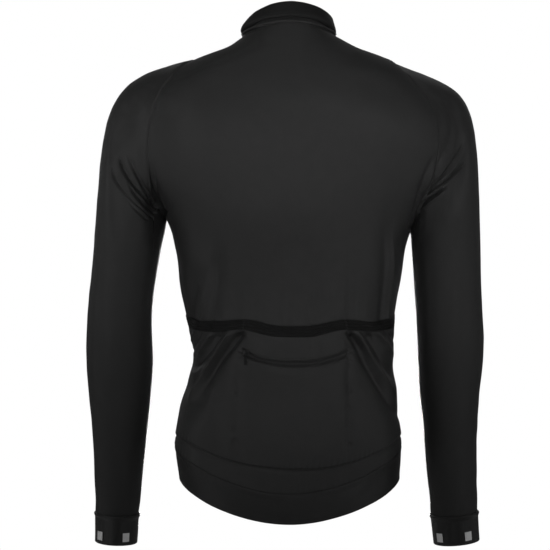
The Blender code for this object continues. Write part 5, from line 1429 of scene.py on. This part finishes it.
def cloth_material(name, dark, light, rough, sheen, sheen_rough, grain, bump, ribs=0, rib_axis="X", lines=0.0, level=.5,
                   mottle=60.0):
    """A knit or woven cloth: its shade and roughness vary with a fine grain and a soft mottling, and its yarns are a fine
    relief. Coordinates are metres on the flat cloth."""
    m, tree, shader = nodes_of(name)
    uv = tree.nodes.new("ShaderNodeUVMap")
    uv.uv_map = "cloth"
    flat = uv.outputs["UV"]
    fine = noise(tree, flat, grain, 3.0, .6)
    soft = noise(tree, flat, mottle, 3.0, .55)
    shade = summed(tree, (fine.outputs["Fac"], .55), (soft.outputs["Fac"], .45))
    colour = mixed(tree, ranged(tree, shade, 0, 1, (.34, .66)).outputs[0], grey(dark), grey(light))
    link(tree, colour, 2, shader, "Base Color")
    link(tree, ranged(tree, fine.outputs["Fac"], rough - .05, rough + .05, (.3, .7)), 0, shader, "Roughness")
    shader.inputs["Sheen Weight"].default_value = sheen
    shader.inputs["Sheen Roughness"].default_value = sheen_rough
    shader.inputs["Sheen Tint"].default_value = (1, 1, 1, 1)
    shader.inputs["IOR"].default_value = 1.45
    shader.inputs["Specular IOR Level"].default_value = level
    parts = [(fine.outputs["Fac"], 1.0)]
    if ribs:
        parts.append((wave(tree, flat, ribs, rib_axis).outputs["Fac"], lines))
    relief = tree.nodes.new("ShaderNodeBump")
    relief.inputs["Distance"].default_value = bump
    relief.inputs["Strength"].default_value = .8
    tree.links.new(summed(tree, *parts), relief.inputs["Height"])
    link(tree, relief, 0, shader, "Normal")
    return m


def paint_collar_shade_on_tape(material, width, shade):
    """Darken a tape's cloth beyond its first edge as painted shade, where the collar's lower edge shades it; the first
    edge, of this width, keeps the tape's own lighter colour as its piping.
    """
    tree = material.node_tree
    shader = tree.nodes["Principled BSDF"]
    before = shader.inputs["Base Color"].links[0].from_socket
    uv = tree.nodes.new("ShaderNodeUVMap")
    uv.uv_map = "cloth"
    parts = tree.nodes.new("ShaderNodeSeparateXYZ")
    tree.links.new(uv.outputs["UV"], parts.inputs[0])
    # painted shade: the share of the tape, above its piping, that is painted dark as the collar's shadow
    painted_shade_share = ranged(tree, parts.outputs["Y"], 0, 1, (width - .0004, width + .0006))
    both = mixed(tree, painted_shade_share.outputs[0], grey(shade), grey(shade))
    tree.links.new(before, both.inputs[6])
    tree.links.new(both.outputs[2], shader.inputs["Base Color"])


def hard_material(name, dark, light, rough, metal, scale, bump, coat=0.0, level=.5):
    m, tree, shader = nodes_of(name)
    where = tree.nodes.new("ShaderNodeTexCoord").outputs["Object"]
    fine = noise(tree, where, scale, 3.0, .6)
    colour = mixed(tree, ranged(tree, fine.outputs["Fac"], 0, 1, (.35, .65)).outputs[0], grey(dark), grey(light))
    link(tree, colour, 2, shader, "Base Color")
    link(tree, ranged(tree, fine.outputs["Fac"], rough - .06, rough + .06, (.3, .7)), 0, shader, "Roughness")
    shader.inputs["Metallic"].default_value = metal
    shader.inputs["Coat Weight"].default_value = coat
    shader.inputs["Specular IOR Level"].default_value = level
    relief = tree.nodes.new("ShaderNodeBump")
    relief.inputs["Distance"].default_value = bump
    relief.inputs["Strength"].default_value = .6
    tree.links.new(fine.outputs["Fac"], relief.inputs["Height"])
    link(tree, relief, 0, shader, "Normal")
    return m


KNIT = cloth_material("brushed_knit", .0052, .0096, .56, .03, .45, 1500, .00020, 4200, "X", .35)
# the collar is the body's knit, painted darker and made less glossy: a shaded copy of the body knit, painted shade
COLLAR_KNIT_PAINTED_SHADE = cloth_material("collar_knit_painted_shade", .0030, .0054, .60, .02, .45, 1500, .00020, 4200, "X", .35, level=.32)
# the pocket is the body's knit, painted a little darker: a shaded copy of the body knit, painted shade
POCKET_KNIT_PAINTED_SHADE = cloth_material("pocket_knit_painted_shade", .0048, .0086, .56, .03, .45, 1500, .00020, 4200, "X", .35)
RIB_KNIT = cloth_material("cuff_knit", .0030, .0048, .36, .02, .40, 1800, .00013, 2600, "X", .8)
GRIPPER = cloth_material("gripper_knit", .0046, .0072, .44, .01, .40, 1800, .00012, 2600, "X", .6, level=.44)
TAPE = cloth_material("neck_tape", .0120, .0170, .50, .05, .45, 1400, .00018, 1500, "Y", .8)
# the neck tape above its piping is painted darker: painted shade under the collar's lower edge
paint_collar_shade_on_tape(TAPE, .0046, .0030)
ELASTIC_WEAVE = cloth_material("elastic", .0018, .0034, .55, .01, .40, 1500, .00020, 1100, "Y", .9, level=.30)
ZIP_TAPE = cloth_material("zip_tape", .0022, .0036, .50, .02, .40, 1700, .00016, 1500, "Y", .6)
THREAD = cloth_material("thread", .0020, .0034, .60, .02, .40, 2500, .00006)
METAL = hard_material("slider_paint", .004, .007, .46, .0, 420, .00004, .0, .36)
RUBBER = hard_material("pull_rubber", .003, .005, .70, .0, 900, .00005, .0, .22)
REFLECTIVE = hard_material("reflective_film", .62, .74, .42, .0, 1600, .00003, .15)
# the coil's colour is partly its own, and partly lightened as a painted highlight along its teeth
COIL = hard_material("zip_coil", .016, .026, .40, .0, 1200, .00003)

# ---------------------------------------------------------------- flat sizes of the cut pieces: width and length, metres
BACK_FLAT, BACK_AREA = (.495, .695), .268
FRONT_FLAT, FRONT_AREA = (.265, .680), .106
ELASTIC_KNOTS = (243.5, 347.0)
HEM_FOLDS = (
    ("left shade",         196, 468, 208, 488, 228, 506, 10.0, 10.0,  -0.6, .50, .40, 2.0),
    ("left light",         206, 478, 220, 496, 240, 510,  7.0,  9.0,   0.5, .50, .40, 2.0),
    ("right shade",        388, 462, 374, 484, 356, 504, 10.0, 10.0,  -0.6, .50, .40, 2.0),
    ("right light",        372, 474, 358, 494, 340, 508,  8.0,  7.0,   0.5, .50, .40, 2.0),
    ("centre swell",       262, 500, 280, 512, 302, 508,  9.0,  9.0,   .9, .50, .50, 2.0),
)

# ---------------------------------------------------------------- the build
back, back_runs = body_cloth("back_cloth", "back", BACK_COLUMNS, (True, True), back_edge, BACK_FLAT, BACK_AREA, 1, (11, 17))
front_left, left_runs = body_cloth("front_left_cloth", "front_left", FRONT_COLUMNS, (True, False), front_edge(1), FRONT_FLAT,
                                   FRONT_AREA, -1, (8, 14))
front_right, right_runs = body_cloth("front_right_cloth", "front_right", FRONT_COLUMNS, (True, False), front_edge(-1),
                                     FRONT_FLAT, FRONT_AREA, 1, (8, 14))
sleeves = [make_sleeve(side) for side in (1, -1)]
cuffs = [make_cuff(side) for side in (1, -1)]
collar = make_collar()
tape = make_tape()
gripper = make_gripper()
pocket = make_pocket()
elastic = make_elastic()
pocket_zip = make_pocket_zip()

# stitches: the twin rows of the seams, laid on the finished cloth
cloth = surface_of(back, front_left, front_right, pocket, gripper)
rows = []
for side in (1, -1):
    s = np.linspace(.05, 2 * ARM_ROWS - .05, 900)
    angle, level = HOLE[side](s)
    rows.append((beside(angle, level, -side * .0030), STITCH_STEP, *STITCH, False, .0001))
    w = np.linspace(0, SIDE_ROWS, 300)
    angle, level = side_edge(side, w)
    for off in (.0026, -.0026):
        rows.append((beside(angle, level, off), STITCH_STEP, *STITCH, False, .0001))
foot_angle = np.linspace(SIDE_SEAM, -SIDE_SEAM, 400)
for off in (.0022, .0052):
    rows.append((beside(foot_angle, curve_at(MOUTH, MOUTH_COLUMNS, "foot", foot_angle), -off), STITCH_STEP, *STITCH, False, .0001))
hem_line = round_angles(HEM_LEVEL, 800)
for off in (.0022, -.0024):
    rows.append((beside(hem_line, np.full(hem_line.shape, HEM_LEVEL), off), STITCH_STEP, *STITCH, False, .0001))
seam_stitches = small_rows("seam_stitches", rows, cloth, THREAD, (), "body_knit")

on_zip = surface_of(pocket_zip)
zip_a = np.linspace(ZIP_LINE[0][0] - .4, ZIP_LINE[-1][0] + .4, 300)
zip_mid = .5 * (curve_at(ZIP_LINE, ZIP_LINE_COLUMNS, "top", zip_a) + curve_at(ZIP_LINE, ZIP_LINE_COLUMNS, "bottom", zip_a))
teeth = small_rows("pocket_zip_coil", [
    (beside(zip_a, zip_mid + .006, 0) + form_normal(zip_a, zip_mid) * .004, .0013, .0034, .0010, .0008, True, .0001),
], on_zip, COIL, (), "zip_tape")

# the coil up the closed front
front_line = np.linspace(.02, NECK_LEVEL + 2.9, 700)
mid_front = form_point(np.full(700, 180.0), front_line)


def front_coil():
    """The front zip's teeth: short bars across its coil, just proud of it, joined in one mesh."""
    p, t = evenly(mid_front, .0015)
    points, faces = [], []
    for k in range(len(p)):
        b = np.array([1.0, 0, 0])
        n = unit(np.cross(b, t[k]))
        n = n if n[1] < 0 else -n
        c = p[k] - n * .0004
        i = len(points)
        half = COIL_HALF * .92
        shift = .0004 if k % 2 else -.0004
        points += [c + b * (shift - half), c + b * (shift + half), c - t[k] * .00055, c + t[k] * .00055,
                   c + b * (shift - half * .8) + n * .0007, c + b * (shift + half * .8) + n * .0007]
        faces += [(i, i + 2, i + 5, i + 4), (i + 2, i + 1, i + 5, i + 5), (i + 1, i + 3, i + 5, i + 5), (i + 3, i, i + 4, i + 5)]
    return place("front_zip_coil", mesh_from("front_zip_coil", np.array(points), np.array(faces), np.array(points)[:, (0, 2)]),
                 COIL, (), "zip_tape")


coil = front_coil()

# the hard pieces that stay as the part has them
ZIP_BASE = hard_material("front_zip_tape", .007, .011, .62, .0, 1500, .00005)
for node, finish in (("front_zip", ZIP_BASE), ("front_zip_slider", METAL), ("pocket_zip_slider", METAL),
                     ("front_zip_pull", RUBBER), ("pocket_zip_pull", RUBBER),
                     ("cuff_tab_left_outer", REFLECTIVE), ("cuff_tab_left_inner", REFLECTIVE),
                     ("cuff_tab_right_inner", REFLECTIVE), ("cuff_tab_right_outer", REFLECTIVE)):
    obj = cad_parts[node]
    obj.data.materials.clear()
    obj.data.materials.append(finish)

# ---------------------------------------------------------------- light, floor, world
LIGHT_COLUMNS = ("name", "azimuth", "elevation", "distance", "size", "spread", "aim_x", "aim_z", "watts")
LIGHTS = (
    ("low left of back",  -15, -35, 1.3,  .4,  60,   .00, -.50,  3.29),
    ("low right of back",  15, -35, 1.3,  .4,  60,   .00, -.50,  1.11),
    ("low middle",         15, -30, 1.2,  .3,  26,  -.05, -.50,   .17),
    ("left side",         -70, -15, 1.6,  .6, 180,   .00, -.25,  1.93),
    ("right side",         70, -15, 1.6,  .6, 180,   .00, -.25,  1.45),
    ("left sleeve edge",  -95,  15, 1.4,  .5,  50,   .20, -.15,   .18),
    ("right sleeve edge",  95,  15, 1.4,  .5,  50,  -.20, -.15,   .06),
    ("right sleeve",       50,   5, 1.4,  .4,  45,  -.22, -.20,   .21),
    ("left sleeve",       -50,   5, 1.4,  .4,  45,   .22, -.20,   .03),
    ("left sleeve cap",   -50,   8, 1.3,  .3,  26,   .23, -.14,   .04),
    ("left blade",        -30,  10, 1.5,  .4,  45,   .10, -.15,   .18),
    ("right blade",        30,  10, 1.5,  .4,  45,  -.10, -.15,   .13),
    ("between blades",     10,  10, 1.3,  .3,  22,  -.05, -.10,   .04),
    ("pocket",              0, -20, 1.3,  .3,  36,   .00, -.42,   .10),
    ("pocket left",       -25, -20, 1.3,  .3,  40,   .06, -.44,   .03),
    ("pocket right",       25, -20, 1.3,  .3,  40,  -.06, -.44,   .03),
    ("over the back",       0,  45, 1.5,  .5,  60,   .00, -.20,   .20),
    ("high over the back",  0,  60, 1.5,  .8,  70,   .00, -.20,   .16),
    ("high left",         -20,  40, 1.5,  .5,  50,   .05, -.25,   .09),
    ("top",                 0,  88, 1.6, 1.2, 180,   .00, -.20,  1.28),
    ("front left",       -158,  15, 1.9,  .8, 180,   .00, -.25,  2.20),
    ("front right",       150,  25, 1.9,  .8, 180,   .00, -.25,  1.30),
    ("front middle",      180,  -8, 1.9,  .4,  32,   .00, -.32,  1.50),
)
WORLD_LIGHT = .08


def area_light(name, azimuth, elevation, distance, size, spread, aim_x, aim_z, watts):
    """A square soft light, placed round the jacket: azimuth 0 is straight behind it, + towards the wearer's right."""
    data = bpy.data.lights.new(name, "AREA")
    data.size = size
    data.energy = watts
    data.spread = radians(spread)
    obj = bpy.data.objects.new(name, data)
    bpy.context.scene.collection.objects.link(obj)
    a, e = radians(azimuth), radians(elevation)
    away = Vector((-sin(a) * cos(e), cos(a) * cos(e), sin(e)))
    obj.location = Vector((aim_x, 0, aim_z)) + away * distance
    obj.rotation_euler = away.to_track_quat("Z", "Y").to_euler()
    obj.visible_camera = False
    return obj


lights = [area_light(*row) for row in LIGHTS]

world = bpy.data.worlds.new("studio")
bpy.context.scene.world = world
world.use_nodes = True
wt = world.node_tree
background = wt.nodes["Background"]
background.inputs["Color"].default_value = (1, 1, 1, 1)
background.inputs["Strength"].default_value = WORLD_LIGHT
seen = wt.nodes.new("ShaderNodeBackground")
seen.inputs["Color"].default_value = (1, 1, 1, 1)
seen.inputs["Strength"].default_value = 1.0
choose = wt.nodes.new("ShaderNodeMixShader")
path = wt.nodes.new("ShaderNodeLightPath")
wt.links.new(path.outputs["Is Camera Ray"], choose.inputs[0])
wt.links.new(background.outputs[0], choose.inputs[1])
wt.links.new(seen.outputs[0], choose.inputs[2])
wt.links.new(choose.outputs[0], wt.nodes["World Output"].inputs["Surface"])

FLOOR_Z, FLOOR_RADIUS = -.80, .82
count = 96
floor_mesh = bpy.data.meshes.new("floor")
rim = [(FLOOR_RADIUS * cos(2 * pi * k / count), FLOOR_RADIUS * sin(2 * pi * k / count), FLOOR_Z) for k in range(count)]
floor_mesh.from_pydata(rim, [], [tuple(range(count))])
floor_mat, ftree, fshader = nodes_of("floor")
fwhere = ftree.nodes.new("ShaderNodeTexCoord").outputs["Object"]
fnoise = noise(ftree, fwhere, 6, 2)
link(ftree, mixed(ftree, fnoise.outputs["Fac"], grey(.86), grey(.90)), 2, fshader, "Base Color")
fshader.inputs["Roughness"].default_value = .9
fshader.inputs["Emission Color"].default_value = (1, 1, 1, 1)
fpath = ftree.nodes.new("ShaderNodeLightPath")      # the floor looks pale, and doesn't glow on the cloth
link(ftree, ranged(ftree, fpath.outputs["Is Camera Ray"], 0, .62), 0, fshader, "Emission Strength")
floor_mesh.materials.append(floor_mat)
floor = bpy.data.objects.new("floor", floor_mesh)
bpy.context.scene.collection.objects.link(floor)

scene = bpy.context.scene
scene.view_settings.view_transform = "Standard"
scene.view_settings.look = "None"
